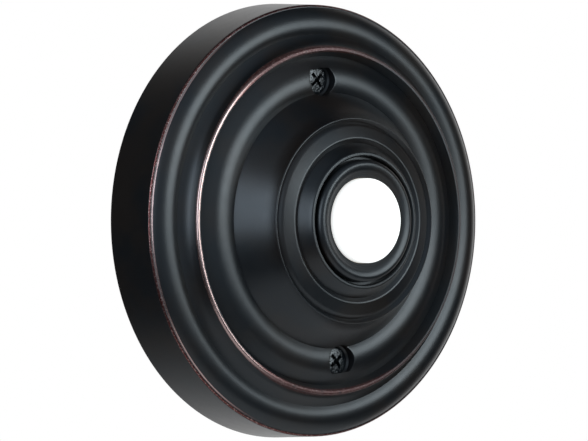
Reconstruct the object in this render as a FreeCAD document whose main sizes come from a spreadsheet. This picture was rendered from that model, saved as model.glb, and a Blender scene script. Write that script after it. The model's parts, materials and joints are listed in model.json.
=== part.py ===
import FreeCAD, Part

import math
import os

import Sketcher

# Doorbell push button on a round moulded rosette, for a wall.
# Frame: the wall is the plane Y = 0, the front faces -Y and +Z is up.
# The origin is where the rosette's axis meets the wall.
# A height is a distance in front of the wall, so it is the Y coordinate with its sign turned.

document = FreeCAD.newDocument("doorbell_push_button")
sheet = document.addObject("Spreadsheet::Sheet", "Sizes")


class Size:
    """A length that knows its number and the sheet expression that gives it."""

    def __init__(self, value, text):
        self.value = value
        self.text = text

    def __add__(self, other):
        other = as_size(other)
        return Size(self.value + other.value, f"({self.text} + {other.text})")

    def __sub__(self, other):
        other = as_size(other)
        return Size(self.value - other.value, f"({self.text} - {other.text})")

    def __mul__(self, other):
        other = as_size(other)
        return Size(self.value * other.value, f"({self.text} * {other.text})")

    def __truediv__(self, other):
        other = as_size(other)
        return Size(self.value / other.value, f"({self.text} / {other.text})")

    def __neg__(self):
        return Size(-self.value, f"(0 - {self.text})")

    def root(self):
        return Size(math.sqrt(self.value), f"sqrt({self.text})")


def as_size(number):
    """Return a plain number as a Size, and a Size as it is."""
    if isinstance(number, Size):
        return number
    return Size(float(number), repr(float(number)))


row = 0


def size(alias, value, meaning):
    """Write one driving dimension into the sheet, in millimetres, and return it."""
    global row
    row += 1
    sheet.set(f"A{row}", meaning)
    sheet.set(f"B{row}", str(value))
    sheet.setAlias(f"B{row}", alias)
    return Size(float(value), f"Sizes.{alias}")


# Rosette, outside: the widths of the mouldings share the room between the collar and the rim
rim_radius = size("rim_radius", 31.75, "outer radius at the wall")
band_width = size("band_width", 2.7, "from the rim in to the middle of the front band")
shoulder_width = size("shoulder_width", 0.85, "from there in to the front band's shoulder")
hollow_width = size("hollow_width", 1.05, "from there in to the hollow before the step")
step_side_width = size("step_side_width", 0.9, "from there in to the middle of the step's round side")
step_width = size("step_width", 0.5, "from there in to the step's steep part")
lip_width = size("lip_width", 0.4, "from there in to the second ring's lip")
lip_end_width = size("lip_end_width", 0.5, "flat width of the lip")
cove_side_width = size("cove_side_width", 0.4, "from there in to the middle of the cove's side")
cove_width = size("cove_width", 0.45, "from there in to the cove's bottom")
roll_foot_width = size("roll_foot_width", 1.7, "from there in to the roll's foot")
roll_width = size("roll_width", 1.7, "from there in to the roll's crest")
valley_width = size("valley_width", 1.95, "from there in to the valley before the dome")
dome_side_width = size("dome_side_width", 1.87, "from there in to the middle of the dome's hollow flank")
dome_top_width = size("dome_top_width", 1.73, "from there in to the dome's top edge")
groove_width = size("groove_width", 0.7, "from there in to the narrow groove")
bead_outer_width = size("bead_outer_width", 0.45, "from there in to the bead's outer edge")
bead_width = size("bead_width", 1.9, "from there in to the bead's inner edge")
collar_foot_width = size("collar_foot_width", 0.7, "from there in to the collar's foot")
collar_side_width = size("collar_side_width", 1.1, "from there in to the top of the collar's side")
collar_width = size("collar_width", 0.25, "from there in to the collar's lip")

# Rosette, outside: the rises and falls of the mouldings, from the rim to the collar
rim_height = size("rim_height", 8.4, "height of the rim's front edge")
band_rise = size("band_rise", 1.26, "rise to the middle of the front band")
shoulder_rise = size("shoulder_rise", 0.14, "rise from there to the front band's shoulder")
hollow_fall = size("hollow_fall", 0.34, "fall to the bottom of the hollow")
step_side_rise = size("step_side_rise", 0.66, "rise to the middle of the step's round side")
step_rise = size("step_rise", 0.63, "rise from there to the step's steep part")
lip_rise = size("lip_rise", 1.25, "rise from there to the lip")
cove_side_fall = size("cove_side_fall", 0.5, "fall to the middle of the cove's side")
cove_fall = size("cove_fall", 0.62, "fall from there to the cove's bottom")
roll_foot_rise = size("roll_foot_rise", 1.07, "rise to the roll's foot")
roll_rise = size("roll_rise", 0.5, "rise from there to the roll's crest")
valley_fall = size("valley_fall", 0.3, "fall to the valley")
dome_side_rise = size("dome_side_rise", 2.5, "rise to the middle of the dome's flank")
dome_top_rise = size("dome_top_rise", 2.7, "rise from there to the dome's top edge")
groove_fall = size("groove_fall", 0.37, "fall to the groove's bottom")
bead_rise = size("bead_rise", 0.47, "rise to the bead's outer edge")
bead_slope_rise = size("bead_slope_rise", 0.71, "rise from there to the bead's inner edge")
collar_foot_fall = size("collar_foot_fall", 0.38, "fall to the collar's foot")
collar_side_rise = size("collar_side_rise", 1.38, "rise to the top of the collar's side")
collar_rise = size("collar_rise", 0.39, "rise from there to the collar's lip")

# Rosette, outside: edges and roundings
rim_draft = size("rim_draft", 0.2, "lean of the rim wall by its front edge")
edge_round = size("edge_round", 0.4, "rounding of the rubbed front edge")
shoulder_round = size("shoulder_round", 0.75, "reach of the rounding of the front band's shoulder")
lip_round = size("lip_round", 0.25, "reach of the rounding of the second ring's lip")
dome_round = size("dome_round", 0.2, "rounding of the dome's top edge")
bead_round = size("bead_round", 0.25, "reach of the rounding of the bead's edges and the collar's side")
collar_round = size("collar_round", 0.2, "rounding of the collar's lip")
collar_lip = size("collar_lip", 0.6, "thickness of the collar's lip")

# Rosette, inside: a cast shell, open at the wall
rim_wall = size("rim_wall", 2.35, "thickness of the rim")
shell_wall = size("shell_wall", 2.1, "thickness of the shell behind its mouldings")
inner_round = size("inner_round", 1.2, "rounding inside the rim")
web_wall = size("web_wall", 3.2, "thickness of the web that carries the button unit")
recess_depth = size("recess_depth", 1.15, "depth of the recess that holds the bezel")
recess_gap = size("recess_gap", 0.42, "dark gap round the bezel")
boss_radius = size("boss_radius", 3.5, "outer radius of each screw boss")
boss_gap = size("boss_gap", 0.5, "gap between a screw boss and the wall")
boss_cover = size("boss_cover", 0.3, "how far behind the cove's bottom a screw boss ends")
dome_wall = size("dome_wall", 1.25, "from the valley before the dome in to the dome's inside")
web_edge = size("web_edge", 1.35, "from the dome's top edge in to the web's edge")

# Mounting screws
screw_thread_radius = size("screw_thread_radius", 1.1, "outer radius of a mounting screw's thread")
screw_thread_front = size("screw_thread_front", 0.3, "how far the thread reaches in front of the wall")
screw_shank_radius = size("screw_shank_radius", 0.95, "radius of a mounting screw's plain shank")
screw_head_radius = size("screw_head_radius", 2.05, "radius of a mounting screw's head")
screw_head_cone = size("screw_head_cone", 1.05, "height of the head's cone")
screw_head_rim = size("screw_head_rim", 0.15, "height of the head's straight rim")
screw_head_dome = size("screw_head_dome", 0.15, "height of the head's slight dome")
screw_head_depth = size("screw_head_depth", 1.45, "depth of the head's rim behind the roll's crest")
screw_length = size("screw_length", 25.4, "length of a mounting screw")
screw_point = size("screw_point", 2.6, "length of a mounting screw's point")
screw_hole_gap = size("screw_hole_gap", 0.15, "gap between the thread and its hole")
screw_seat_gap = size("screw_seat_gap", 0.02, "gap between the head's cone and its seat")
counterbore_radius = size("counterbore_radius", 2.38, "radius of the recess round a screw head")
cross_length = size("cross_length", 2.5, "length of each cross slot in a screw head")
cross_width = size("cross_width", 0.55, "width of each cross slot in a screw head")
cross_depth = size("cross_depth", 0.9, "depth of the cross slots in a screw head")

# Button unit: a barrel with a rolled bezel, the button and its switch
barrel_skirt = size("barrel_skirt", 0.4, "thickness of the barrel outside the snap ring's groove")
barrel_hole_gap = size("barrel_hole_gap", 0.15, "gap between the barrel and the rosette's hole")
barrel_tail = size("barrel_tail", 1.2, "how far the barrel reaches behind the switch base")
bezel_side = size("bezel_side", 1.0, "straight height of the bezel's side")
bezel_roll = size("bezel_roll", 0.8, "radius of the bezel's outer roll")
bezel_ledge = size("bezel_ledge", 1.03, "how far the bezel reaches out past the barrel")
bezel_slope_width = size("bezel_slope_width", 0.45, "width of the bezel's slope outside its bore")
bezel_slope_drop = size("bezel_slope_drop", 0.6, "fall of the bezel's face towards the button")
bezel_mouth_drop = size("bezel_mouth_drop", 0.95, "depth of the rounding into the bezel's bore")
button_room = size("button_room", 0.8, "from the spring's middle out to the inside of the button")
button_gap = size("button_gap", 0.08, "running gap round the button")
button_proud = size("button_proud", 1.25, "how far the button stands out of its bezel")
button_dome = size("button_dome", 0.6, "height of the button's dome")
button_round = size("button_round", 0.55, "rounding of the button's front edge")
button_wall = size("button_wall", 1.27, "thickness of the button's side")
button_roof = size("button_roof", 1.3, "thickness of the button's front")
button_flange = size("button_flange", 0.6, "width of the flange that keeps the button in")
button_flange_height = size("button_flange_height", 1.2, "thickness of that flange")
button_stop_depth = size("button_stop_depth", 1.2, "depth of the flange's stop behind the bezel's seat")
button_travel = size("button_travel", 1.5, "how far the button goes in")
bridge_thickness = size("bridge_thickness", 0.5, "thickness of the contact bridge ring")
bridge_reach = size("bridge_reach", 0.5, "how far the bridge ring reaches in past the spring's middle")
bridge_gap = size("bridge_gap", 0.15, "gap between the bridge ring and the barrel")
closing_gap = size("closing_gap", 0.02, "gap left between bridge and posts, button pressed")

# Spring
spring_room = size("spring_room", 0.4, "from the lamp board's edge out to the spring's middle")
spring_wire = size("spring_wire", 0.45, "wire thickness of the return spring")
spring_turns = size("spring_turns", 4.5, "turns of the return spring")
spring_gap = size("spring_gap", 0.02, "gap at each end of the return spring")

# Nut and lock washer behind the web
nut_wall = size("nut_wall", 1.6, "from the barrel out to the middle of the nut's flats")
nut_thickness = size("nut_thickness", 2.5, "thickness of the nut")
nut_gap = size("nut_gap", 0.05, "gap between the nut and the barrel")
nut_bevel = size("nut_bevel", 0.6, "height of the bevel of the nut's corners")
nut_bevel_width = size("nut_bevel_width", 1.2, "width of that bevel")
washer_width = size("washer_width", 2.2, "how far the lock washer reaches out from the barrel")
washer_thickness = size("washer_thickness", 0.6, "thickness of the lock washer")
washer_gap = size("washer_gap", 0.1, "gap between the lock washer and the barrel")
washer_tooth_depth = size("washer_tooth_depth", 0.9, "depth of the notches between its teeth")
washer_tooth_gap = size("washer_tooth_gap", 1.1, "width of the notches between its teeth")
washer_tooth_flare = size("washer_tooth_flare", 0.22, "how much wider each side of a notch is outside")

# Switch base and its snap ring
base_step = size("base_step", 0.3, "how much the switch base is wider than the flange's chamber")
base_gap = size("base_gap", 0.05, "gap round the switch base")
base_depth = size("base_depth", 8.8, "depth of the base's front face behind the bezel's seat")
base_thickness = size("base_thickness", 3.0, "thickness of the switch base")
ring_thickness = size("ring_thickness", 0.6, "thickness of the snap ring")
ring_grip = size("ring_grip", 0.3, "how far the snap ring reaches into its groove")
ring_gap = size("ring_gap", 0.05, "gap round and beside the snap ring")
ring_width = size("ring_width", 1.2, "width of the snap ring")
ring_opening = size("ring_opening", 3.2, "opening of the snap ring")

# Contacts and terminals
post_radius = size("post_radius", 0.75, "radius of a contact post")
post_shank_radius = size("post_shank_radius", 0.5, "radius of a contact post's shank")
post_margin = size("post_margin", 1.75, "from a plate's outer edge sideways in to its contact post")
post_down = size("post_down", 3.25, "distance of a contact post below the axis")
rivet_radius = size("rivet_radius", 0.65, "radius of a post's riveted end")
rivet_height = size("rivet_height", 0.35, "height of a post's riveted end")
plate_thickness = size("plate_thickness", 0.6, "thickness of a terminal plate")
plate_margin = size("plate_margin", 1.15, "margin of the switch base outside the terminal plates")
plate_split = size("plate_split", 0.9, "half of the gap between the terminal plates")
plate_top = size("plate_top", 2.9, "height of a terminal plate above the axis")
plate_bottom = size("plate_bottom", 4.1, "depth of a terminal plate below the axis")
terminal_margin = size("terminal_margin", 2.1, "from a plate's outer edge in to its terminal screw")
terminal_head_radius = size("terminal_head_radius", 2.0, "radius of a terminal screw's head")
terminal_head_height = size("terminal_head_height", 1.3, "height of a terminal screw's head")
terminal_head_round = size("terminal_head_round", 0.4, "rounding of a terminal screw's head")
terminal_shank_radius = size("terminal_shank_radius", 1.0, "radius of a terminal screw's shank")
terminal_depth = size("terminal_depth", 2.5, "depth of a terminal screw in the base")
terminal_slot_width = size("terminal_slot_width", 0.6, "width of a terminal screw's slot")
terminal_slot_depth = size("terminal_slot_depth", 0.7, "depth of a terminal screw's slot")
clamp_radius = size("clamp_radius", 2.1, "radius of a terminal washer")
clamp_thickness = size("clamp_thickness", 0.5, "thickness of a terminal washer")
pin_radius = size("pin_radius", 0.3, "radius of a lamp pin")
pin_across = size("pin_across", 1.6, "distance of a lamp pin to the side")
pin_up = size("pin_up", 1.9, "distance of a lamp pin above the axis")
pin_proud = size("pin_proud", 0.3, "how far a lamp pin stands out at each end")
fixing_gap = size("fixing_gap", 0.05, "gap round shanks and pins in their holes")

# Lamp
board_radius = size("board_radius", 3.7, "radius of the lamp board")
board_thickness = size("board_thickness", 0.8, "thickness of the lamp board")
lamp_radius = size("lamp_radius", 1.5, "radius of the lamp")
lamp_foot_radius = size("lamp_foot_radius", 1.6, "radius of the lamp's foot")
lamp_foot_height = size("lamp_foot_height", 0.8, "height of the lamp's foot")
lamp_length = size("lamp_length", 4.8, "length of the lamp with its dome")
resistor_radius = size("resistor_radius", 0.75, "radius of the resistor's ends")
resistor_waist = size("resistor_waist", 0.62, "radius of the resistor's middle")
resistor_length = size("resistor_length", 2.8, "length of the resistor")
resistor_cap = size("resistor_cap", 0.56, "straight length of the resistor's ends")
resistor_taper = size("resistor_taper", 0.14, "length of the taper from an end to the waist")
resistor_down = size("resistor_down", 2.6, "distance of the resistor below the axis")
resistor_standoff = size("resistor_standoff", 0.25, "gap between the resistor and the board")
lead_radius = size("lead_radius", 0.2, "radius of the resistor's leads")
lead_span = size("lead_span", 1.5, "distance between the resistor's two leads")
lead_lift = size("lead_lift", 0.15, "straight length of the upper lead before its bend")


def follow(alias, amount, meaning):
    """Write a size that follows from others into the sheet as a formula, and return it."""
    global row
    row += 1
    sheet.set(f"A{row}", meaning)
    sheet.set(f"B{row}", "=" + amount.text.replace("Sizes.", ""))
    sheet.setAlias(f"B{row}", alias)
    return Size(amount.value, f"Sizes.{alias}")


# Radii of the button unit, from the lamp board out to the rosette's collar
spring_radius = follow("spring_radius", board_radius + spring_room, "middle of the spring's wire")
bridge_inner_radius = follow("bridge_inner_radius", spring_radius - bridge_reach, "bridge's hole")
button_inside = follow("button_inside", spring_radius + button_room, "inside of the button")
button_radius = follow("button_radius", button_inside + button_wall, "outside of the button")
bore_radius = follow("bore_radius", button_radius + button_gap, "barrel's bore round the button")
flange_radius = follow("flange_radius", button_radius + button_flange, "outside of the flange")
chamber_radius = follow("chamber_radius", flange_radius + button_gap, "chamber for the flange")
base_radius = follow("base_radius", chamber_radius + base_step, "outside of the switch base")
seat_radius = follow("seat_radius", base_radius + base_gap, "barrel's bore round the base")
groove_bore = follow("groove_bore", seat_radius + ring_grip, "snap ring's groove")
barrel_radius = follow("barrel_radius", groove_bore + barrel_skirt, "outside of the barrel")
barrel_hole = follow("barrel_hole", barrel_radius + barrel_hole_gap, "rosette's hole for it")
bezel_slope_radius = follow("bezel_slope_radius", bore_radius + bezel_slope_width, "bezel's slope")
bezel_radius = follow("bezel_radius", barrel_radius + bezel_ledge, "outside of the bezel")
recess_radius = follow("recess_radius", bezel_radius + recess_gap, "inside of the collar")
collar_radius = follow("collar_radius", recess_radius + collar_lip, "outside of the collar")
nut_flats = follow("nut_flats", (barrel_radius + nut_wall) * 2, "nut across its flats")
washer_radius = follow("washer_radius", barrel_radius + washer_width, "outside of the washer")
plate_radius = follow("plate_radius", base_radius - plate_margin, "outside of the plates")
terminal_across = follow("terminal_across", plate_radius - terminal_margin, "screw to the side")
post_across = follow("post_across", plate_radius - post_margin, "contact post to the side")

# Radii of the mouldings, from the collar outwards
inward = [
    band_width, shoulder_width, hollow_width, step_side_width, step_width, lip_width, lip_end_width,
    cove_side_width, cove_width, roll_foot_width, roll_width, valley_width, dome_side_width,
    dome_top_width, groove_width, bead_outer_width, bead_width, collar_foot_width,
    collar_side_width, collar_width]
drawn_room = inward[0]
for width in inward[1:]:
    drawn_room = drawn_room + width
drawn_room = follow("drawn_room", drawn_room, "all moulding widths together")
spread = follow("spread", (rim_radius - collar_radius) / drawn_room, "spread of the widths")
band_radius = follow("band_radius", rim_radius - band_width * spread, "middle of the front band")
shoulder_radius = follow("shoulder_radius", band_radius - shoulder_width * spread, "front band's shoulder")
hollow_radius = follow("hollow_radius", shoulder_radius - hollow_width * spread, "hollow before the step")
step_side_radius = follow("step_side_radius", hollow_radius - step_side_width * spread, "step's round side")
step_radius = follow("step_radius", step_side_radius - step_width * spread, "step's steep part")
lip_radius = follow("lip_radius", step_radius - lip_width * spread, "second ring's lip")
lip_end_radius = follow("lip_end_radius", lip_radius - lip_end_width * spread, "inner end of the lip")
cove_side_radius = follow("cove_side_radius", lip_end_radius - cove_side_width * spread, "cove's side")
cove_radius = follow("cove_radius", cove_side_radius - cove_width * spread, "cove's bottom")
roll_foot_radius = follow("roll_foot_radius", cove_radius - roll_foot_width * spread, "roll's foot")
roll_radius = follow("roll_radius", roll_foot_radius - roll_width * spread, "roll's crest, screws")
valley_radius = follow("valley_radius", roll_radius - valley_width * spread, "valley before the dome")
dome_side_radius = follow("dome_side_radius", valley_radius - dome_side_width * spread, "dome's flank")
dome_top_radius = follow("dome_top_radius", dome_side_radius - dome_top_width * spread, "dome's top edge")
groove_radius = follow("groove_radius", dome_top_radius - groove_width * spread, "groove's bottom")
bead_outer_radius = follow(
    "bead_outer_radius", groove_radius - bead_outer_width * spread, "bead's outer edge")
bead_inner_radius = follow("bead_inner_radius", bead_outer_radius - bead_width * spread, "bead's inner edge")
collar_side_radius = follow("collar_side_radius", collar_radius + collar_width * spread, "collar's side")
collar_foot_radius = follow(
    "collar_foot_radius", collar_side_radius + collar_side_width * spread, "collar's foot")

# Heights of the mouldings, from the rim inwards
band_height = follow("band_height", rim_height + band_rise, "middle of the front band")
shoulder_height = follow("shoulder_height", band_height + shoulder_rise, "front band's shoulder")
hollow_height = follow("hollow_height", shoulder_height - hollow_fall, "hollow's bottom")
step_side_height = follow("step_side_height", hollow_height + step_side_rise, "step's round side")
step_height = follow("step_height", step_side_height + step_rise, "step's steep part")
lip_height = follow("lip_height", step_height + lip_rise, "second ring's lip")
cove_side_height = follow("cove_side_height", lip_height - cove_side_fall, "cove's side")
cove_height = follow("cove_height", cove_side_height - cove_fall, "cove's bottom")
roll_foot_height = follow("roll_foot_height", cove_height + roll_foot_rise, "roll's foot")
roll_height = follow("roll_height", roll_foot_height + roll_rise, "roll's crest")
valley_height = follow("valley_height", roll_height - valley_fall, "valley before the dome")
dome_side_height = follow("dome_side_height", valley_height + dome_side_rise, "middle of the dome's flank")
dome_top_height = follow("dome_top_height", dome_side_height + dome_top_rise, "dome's top edge")
groove_height = follow("groove_height", dome_top_height - groove_fall, "groove's bottom")
bead_outer_height = follow("bead_outer_height", groove_height + bead_rise, "bead's outer edge")
bead_inner_height = follow("bead_inner_height", bead_outer_height + bead_slope_rise, "bead's inner edge")
collar_foot_height = follow("collar_foot_height", bead_inner_height - collar_foot_fall, "collar's foot")
collar_side_height = follow("collar_side_height", collar_foot_height + collar_side_rise, "collar's side")
collar_height = follow("collar_height", collar_side_height + collar_rise, "collar's lip")

# Heights of the button unit, which sits in the rosette's recess
recess_floor = follow("recess_floor", collar_height - recess_depth, "bezel's seat in the recess")
web_back = follow("web_back", recess_floor - web_wall, "back of the web")
bezel_top = follow("bezel_top", recess_floor + bezel_side + bezel_roll, "front of the bezel")
button_height = follow("button_height", bezel_top + button_proud, "front of the button")
button_stop_height = follow("button_stop_height", recess_floor - button_stop_depth, "stop for the flange")
flange_back = follow("flange_back", button_stop_height - button_flange_height, "back of the flange")
bridge_back = follow("bridge_back", flange_back - bridge_thickness, "back of the contact bridge")
base_height = follow("base_height", recess_floor - base_depth, "front of the switch base")
base_back = follow("base_back", base_height - base_thickness, "back of the switch base")
barrel_end_height = follow("barrel_end_height", base_back - barrel_tail, "barrel's rear end")
plate_back = follow("plate_back", base_back - plate_thickness, "back of the terminal plates")
clamp_back = follow("clamp_back", plate_back - clamp_thickness, "back of the terminal washers")
board_front = follow("board_front", base_height + board_thickness, "front of the lamp board")
screw_hole_radius = follow("screw_hole_radius", screw_thread_radius + screw_hole_gap, "hole for a screw")
screw_head_height = follow("screw_head_height", roll_height - screw_head_depth, "front of a screw head's rim")
screw_head_edge = follow("screw_head_edge", screw_head_height - screw_head_rim, "top of a head's cone")
screw_cone_foot = follow("screw_cone_foot", screw_head_edge - screw_head_cone, "foot of a head's cone")

# How far the middle of a quarter-round lies in from its corner, as a share of the rounding
QUARTER_MIDDLE = 1 - math.sqrt(0.5)
# The cross slots of the screw heads are turned by 35 degrees
CROSS_COSINE = math.cos(math.radians(35))
CROSS_SINE = math.sin(math.radians(35))
# The height of a low dome halfway to its edge, as a share of its whole height
HALFWAY = 0.75
WASHER_NOTCHES = 18

pieces = []


def start_body(label):
    """Start one piece of the object as a body of its own."""
    body = document.addObject("PartDesign::Body", label)
    body.Label = label
    pieces.append(body)
    return body


def start_sketch(body, plane, name, offset=None):
    """Start a sketch on one of the body's own planes, moved along that plane's normal."""
    sketch = body.newObject("Sketcher::SketchObject", name)
    for feature in body.Origin.OriginFeatures:
        if feature.Role == plane:
            sketch.AttachmentSupport = [(feature, "")]
    sketch.MapMode = "FlatFace"
    if offset is not None:
        offset = as_size(offset)
        sketch.AttachmentOffset = FreeCAD.Placement(
            FreeCAD.Vector(0, 0, offset.value), FreeCAD.Rotation())
        sketch.setExpression("AttachmentOffset.Base.z", offset.text)
    return sketch


def fix_point(sketch, geometry, corner, across, along):
    """Tie one point of a sketch to the sheet, both ways from the sketch's origin."""
    for kind, amount in (("DistanceX", across), ("DistanceY", along)):
        index = sketch.addConstraint(Sketcher.Constraint(kind, geometry, corner, amount.value))
        sketch.setExpression(f"Constraints[{index}]", amount.text)


def draw_outline(sketch, points, closed=True):
    """Draw an outline: a pair ends a straight line, four values end an arc after its middle."""
    points = [tuple(as_size(number) for number in point) for point in points]
    joints = []
    route = points[1:] + ([points[0][-2:]] if closed else [])
    here = points[0]
    for step in route:
        start = FreeCAD.Vector(here[0].value, here[1].value)
        end = FreeCAD.Vector(step[-2].value, step[-1].value)
        if len(step) == 2:
            geometry = sketch.addGeometry(Part.LineSegment(start, end))
            first, last = 1, 2
        else:
            middle = FreeCAD.Vector(step[0].value, step[1].value)
            turn = (middle - start).cross(end - middle).z
            first, last = (1, 2) if turn > 0 else (2, 1)
            ends = (start, end) if turn > 0 else (end, start)
            geometry = sketch.addGeometry(Part.Arc(ends[0], middle, ends[1]))
            mark = sketch.addGeometry(Part.Point(middle), True)
            fix_point(sketch, mark, 1, step[0], step[1])
            sketch.addConstraint(Sketcher.Constraint("PointOnObject", mark, 1, geometry))
        fix_point(sketch, geometry, first, here[0], here[1])
        joints.append((geometry, first, last))
        here = step[-2:]
    for before, after in zip(joints, joints[1:] + joints[:1]):
        if closed or after is not joints[0]:
            sketch.addConstraint(Sketcher.Constraint(
                "Coincident", before[0], before[2], after[0], after[1]))
    if not closed:
        fix_point(sketch, joints[-1][0], joints[-1][2], here[0], here[1])


def draw_circle(sketch, across, along, radius):
    """Draw a circle whose centre and radius follow the sheet."""
    across, along, radius = as_size(across), as_size(along), as_size(radius)
    circle = Part.Circle(FreeCAD.Vector(across.value, along.value), FreeCAD.Vector(0, 0, 1), radius.value)
    geometry = sketch.addGeometry(circle)
    fix_point(sketch, geometry, 3, across, along)
    index = sketch.addConstraint(Sketcher.Constraint("Radius", geometry, radius.value))
    sketch.setExpression(f"Constraints[{index}]", radius.text)


def in_front(points):
    """Turn points of radius and height into sketch points, where the front is down."""
    turned = []
    for point in points:
        signs = [as_size(number) for number in point]
        turned.append(tuple(-number if place % 2 else number for place, number in enumerate(signs)))
    return turned


def turn(body, points, kind="PartDesign::Revolution", name="Turned"):
    """Turn an outline of radius and height round the body's Y axis."""
    sketch = start_sketch(body, "XY_Plane", f"{name}Outline")
    draw_outline(sketch, in_front(points))
    feature = body.newObject(kind, name)
    feature.Profile = sketch
    feature.ReferenceAxis = (sketch, ["V_Axis"])
    feature.Angle = 360.0
    return feature


def pad(body, height, thickness, draw, name="Plate"):
    """Raise what draw puts into a sketch, from a height towards the front."""
    sketch = start_sketch(body, "XZ_Plane", f"{name}Outline", height)
    draw(sketch)
    feature = body.newObject("PartDesign::Pad", name)
    feature.Profile = sketch
    feature.setExpression("Length", as_size(thickness).text)
    return feature


def pocket(body, height, depth, draw, name="Cut", from_front=True):
    """Cut what draw puts into a sketch, from a height towards the wall or the front."""
    sketch = start_sketch(body, "XZ_Plane", f"{name}Outline", height)
    draw(sketch)
    feature = body.newObject("PartDesign::Pocket", name)
    feature.Profile = sketch
    feature.setExpression("Length", as_size(depth).text)
    feature.Reversed = not from_front
    return feature


def place(body, across, up):
    """Put a body at a distance to the side and above the rosette's axis."""
    across, up = as_size(across), as_size(up)
    body.Placement = FreeCAD.Placement(
        FreeCAD.Vector(across.value, 0, up.value), FreeCAD.Rotation())
    body.setExpression("Placement.Base.x", across.text)
    body.setExpression("Placement.Base.z", up.text)


def draw_cross(sketch):
    """Draw the cross slots of a screw head as one outline of twelve corners."""
    arm, half = cross_length / 2, cross_width / 2
    quarter = [(arm, -half), (arm, half), (half, half), (half, arm)]
    corners = list(quarter)
    for _ in range(3):
        quarter = [(-up, across) for across, up in quarter]
        corners += quarter
    kept = [corners[place] for place in range(len(corners)) if place % 4 != 3]
    draw_outline(sketch, [
        (across * CROSS_COSINE - up * CROSS_SINE, across * CROSS_SINE + up * CROSS_COSINE)
        for across, up in kept])


def toward(corner, other, reach):
    """Return the point at a reach from a corner on the way to another point."""
    across, along = other[0] - corner[0], other[1] - corner[1]
    share = reach / (across * across + along * along).root()
    return corner[0] + across * share, corner[1] + along * share


def eased(before, corner, after, reach):
    """Round a corner between two straight lines: where the arc starts, then its middle and end."""
    start, end = toward(corner, before, reach), toward(corner, after, reach)
    middle = [(first + point * 2 + last) / 4 for first, point, last in zip(start, corner, end)]
    return start, (*middle, *end)


# Rosette: one cast piece
def build_escutcheon():
    """Cast rosette: a turned shell, two screw bosses and their recessed screw holes."""
    body = start_body("escutcheon")
    rim_top_radius = rim_radius - rim_draft
    collar_inner = recess_radius + collar_round
    inner_rim = rim_radius - rim_wall
    band_under = hollow_height - shell_wall
    cove_under = cove_height - shell_wall
    roll_under = valley_height - shell_wall
    edge_middle = edge_round * QUARTER_MIDDLE
    dome_middle = dome_round * QUARTER_MIDDLE
    inner_middle = inner_round * QUARTER_MIDDLE
    shoulder, hollow = (shoulder_radius, shoulder_height), (hollow_radius, hollow_height)
    step, lip, lip_end = (step_radius, step_height), (lip_radius, lip_height), (lip_end_radius, lip_height)
    groove, bead_outer = (groove_radius, groove_height), (bead_outer_radius, bead_outer_height)
    bead_inner, collar_foot = (bead_inner_radius, bead_inner_height), (collar_foot_radius, collar_foot_height)
    collar_side, collar = (collar_side_radius, collar_side_height), (collar_radius, collar_height)
    shoulder_start, shoulder_turn = eased((band_radius, band_height), shoulder, hollow, shoulder_round)
    turn(body, [
        (inner_rim, 0),
        (rim_radius, 0),
        (rim_top_radius, rim_height - edge_round),
        (rim_top_radius - edge_middle, rim_height - edge_middle, rim_top_radius - edge_round, rim_height),
        (band_radius, band_height, *shoulder_start),
        shoulder_turn,
        hollow,
        (step_side_radius, step_side_height, *step),
        *eased(step, lip, lip_end, lip_round),
        lip_end,
        (cove_side_radius, cove_side_height, cove_radius, cove_height),
        (roll_foot_radius, roll_foot_height),
        (roll_radius, roll_height, valley_radius, valley_height),
        (dome_side_radius, dome_side_height, dome_top_radius, dome_top_height - dome_round),
        (dome_top_radius - dome_middle, dome_top_height - dome_middle,
         dome_top_radius - dome_round, dome_top_height),
        groove,
        *eased(groove, bead_outer, bead_inner, bead_round),
        *eased(bead_outer, bead_inner, collar_foot, bead_round),
        collar_foot,
        *eased(collar_foot, collar_side, collar, bead_round),
        *eased(collar_side, collar, (collar_inner, collar_height), collar_round),
        (collar_inner, collar_height),
        (recess_radius, collar_height - collar_round),
        (recess_radius, recess_floor),
        (barrel_hole, recess_floor),
        (barrel_hole, web_back),
        (dome_top_radius - web_edge, web_back),
        (valley_radius - dome_wall, roll_under),
        (cove_radius, cove_under),
        (step_radius - shell_wall / 2, band_under),
        (inner_rim - inner_round, band_under),
        (inner_rim - inner_middle, band_under - inner_middle, inner_rim, band_under - inner_round),
    ], name="Shell")

    def draw_bosses(sketch):
        draw_circle(sketch, 0, roll_radius, boss_radius)
        draw_circle(sketch, 0, -roll_radius, boss_radius)

    pad(body, boss_gap, cove_height - boss_cover - boss_gap, draw_bosses, "Bosses")

    # Each screw hole: a straight recess, the cone for the head and the hole for the shank
    cone_slope = screw_head_cone / (screw_head_radius - screw_shank_radius)
    seat_top = screw_head_edge + (counterbore_radius - screw_head_radius) * cone_slope - screw_seat_gap
    seat_foot = seat_top - (counterbore_radius - screw_hole_radius) * cone_slope
    for side, name in ((1, "TopHole"), (-1, "BottomHole")):
        sketch = start_sketch(body, "YZ_Plane", f"{name}Outline")
        middle = roll_radius * side
        hole = [(0, 0), (0, screw_hole_radius), (seat_foot, screw_hole_radius),
                (seat_top, counterbore_radius), (roll_height + shell_wall, counterbore_radius),
                (roll_height + shell_wall, 0)]
        hole = [(-as_size(height), middle + as_size(radius) * side) for height, radius in hole]
        draw_outline(sketch, hole)
        axis_start = FreeCAD.Vector(0, middle.value)
        axis_end = FreeCAD.Vector(-roll_height.value, middle.value)
        axis = sketch.addGeometry(Part.LineSegment(axis_start, axis_end), True)
        fix_point(sketch, axis, 1, as_size(0), middle)
        fix_point(sketch, axis, 2, -roll_height, middle)
        groove = body.newObject("PartDesign::Groove", name)
        groove.Profile = sketch
        groove.ReferenceAxis = (sketch, ["Axis0"])
        groove.Angle = 360.0


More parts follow.
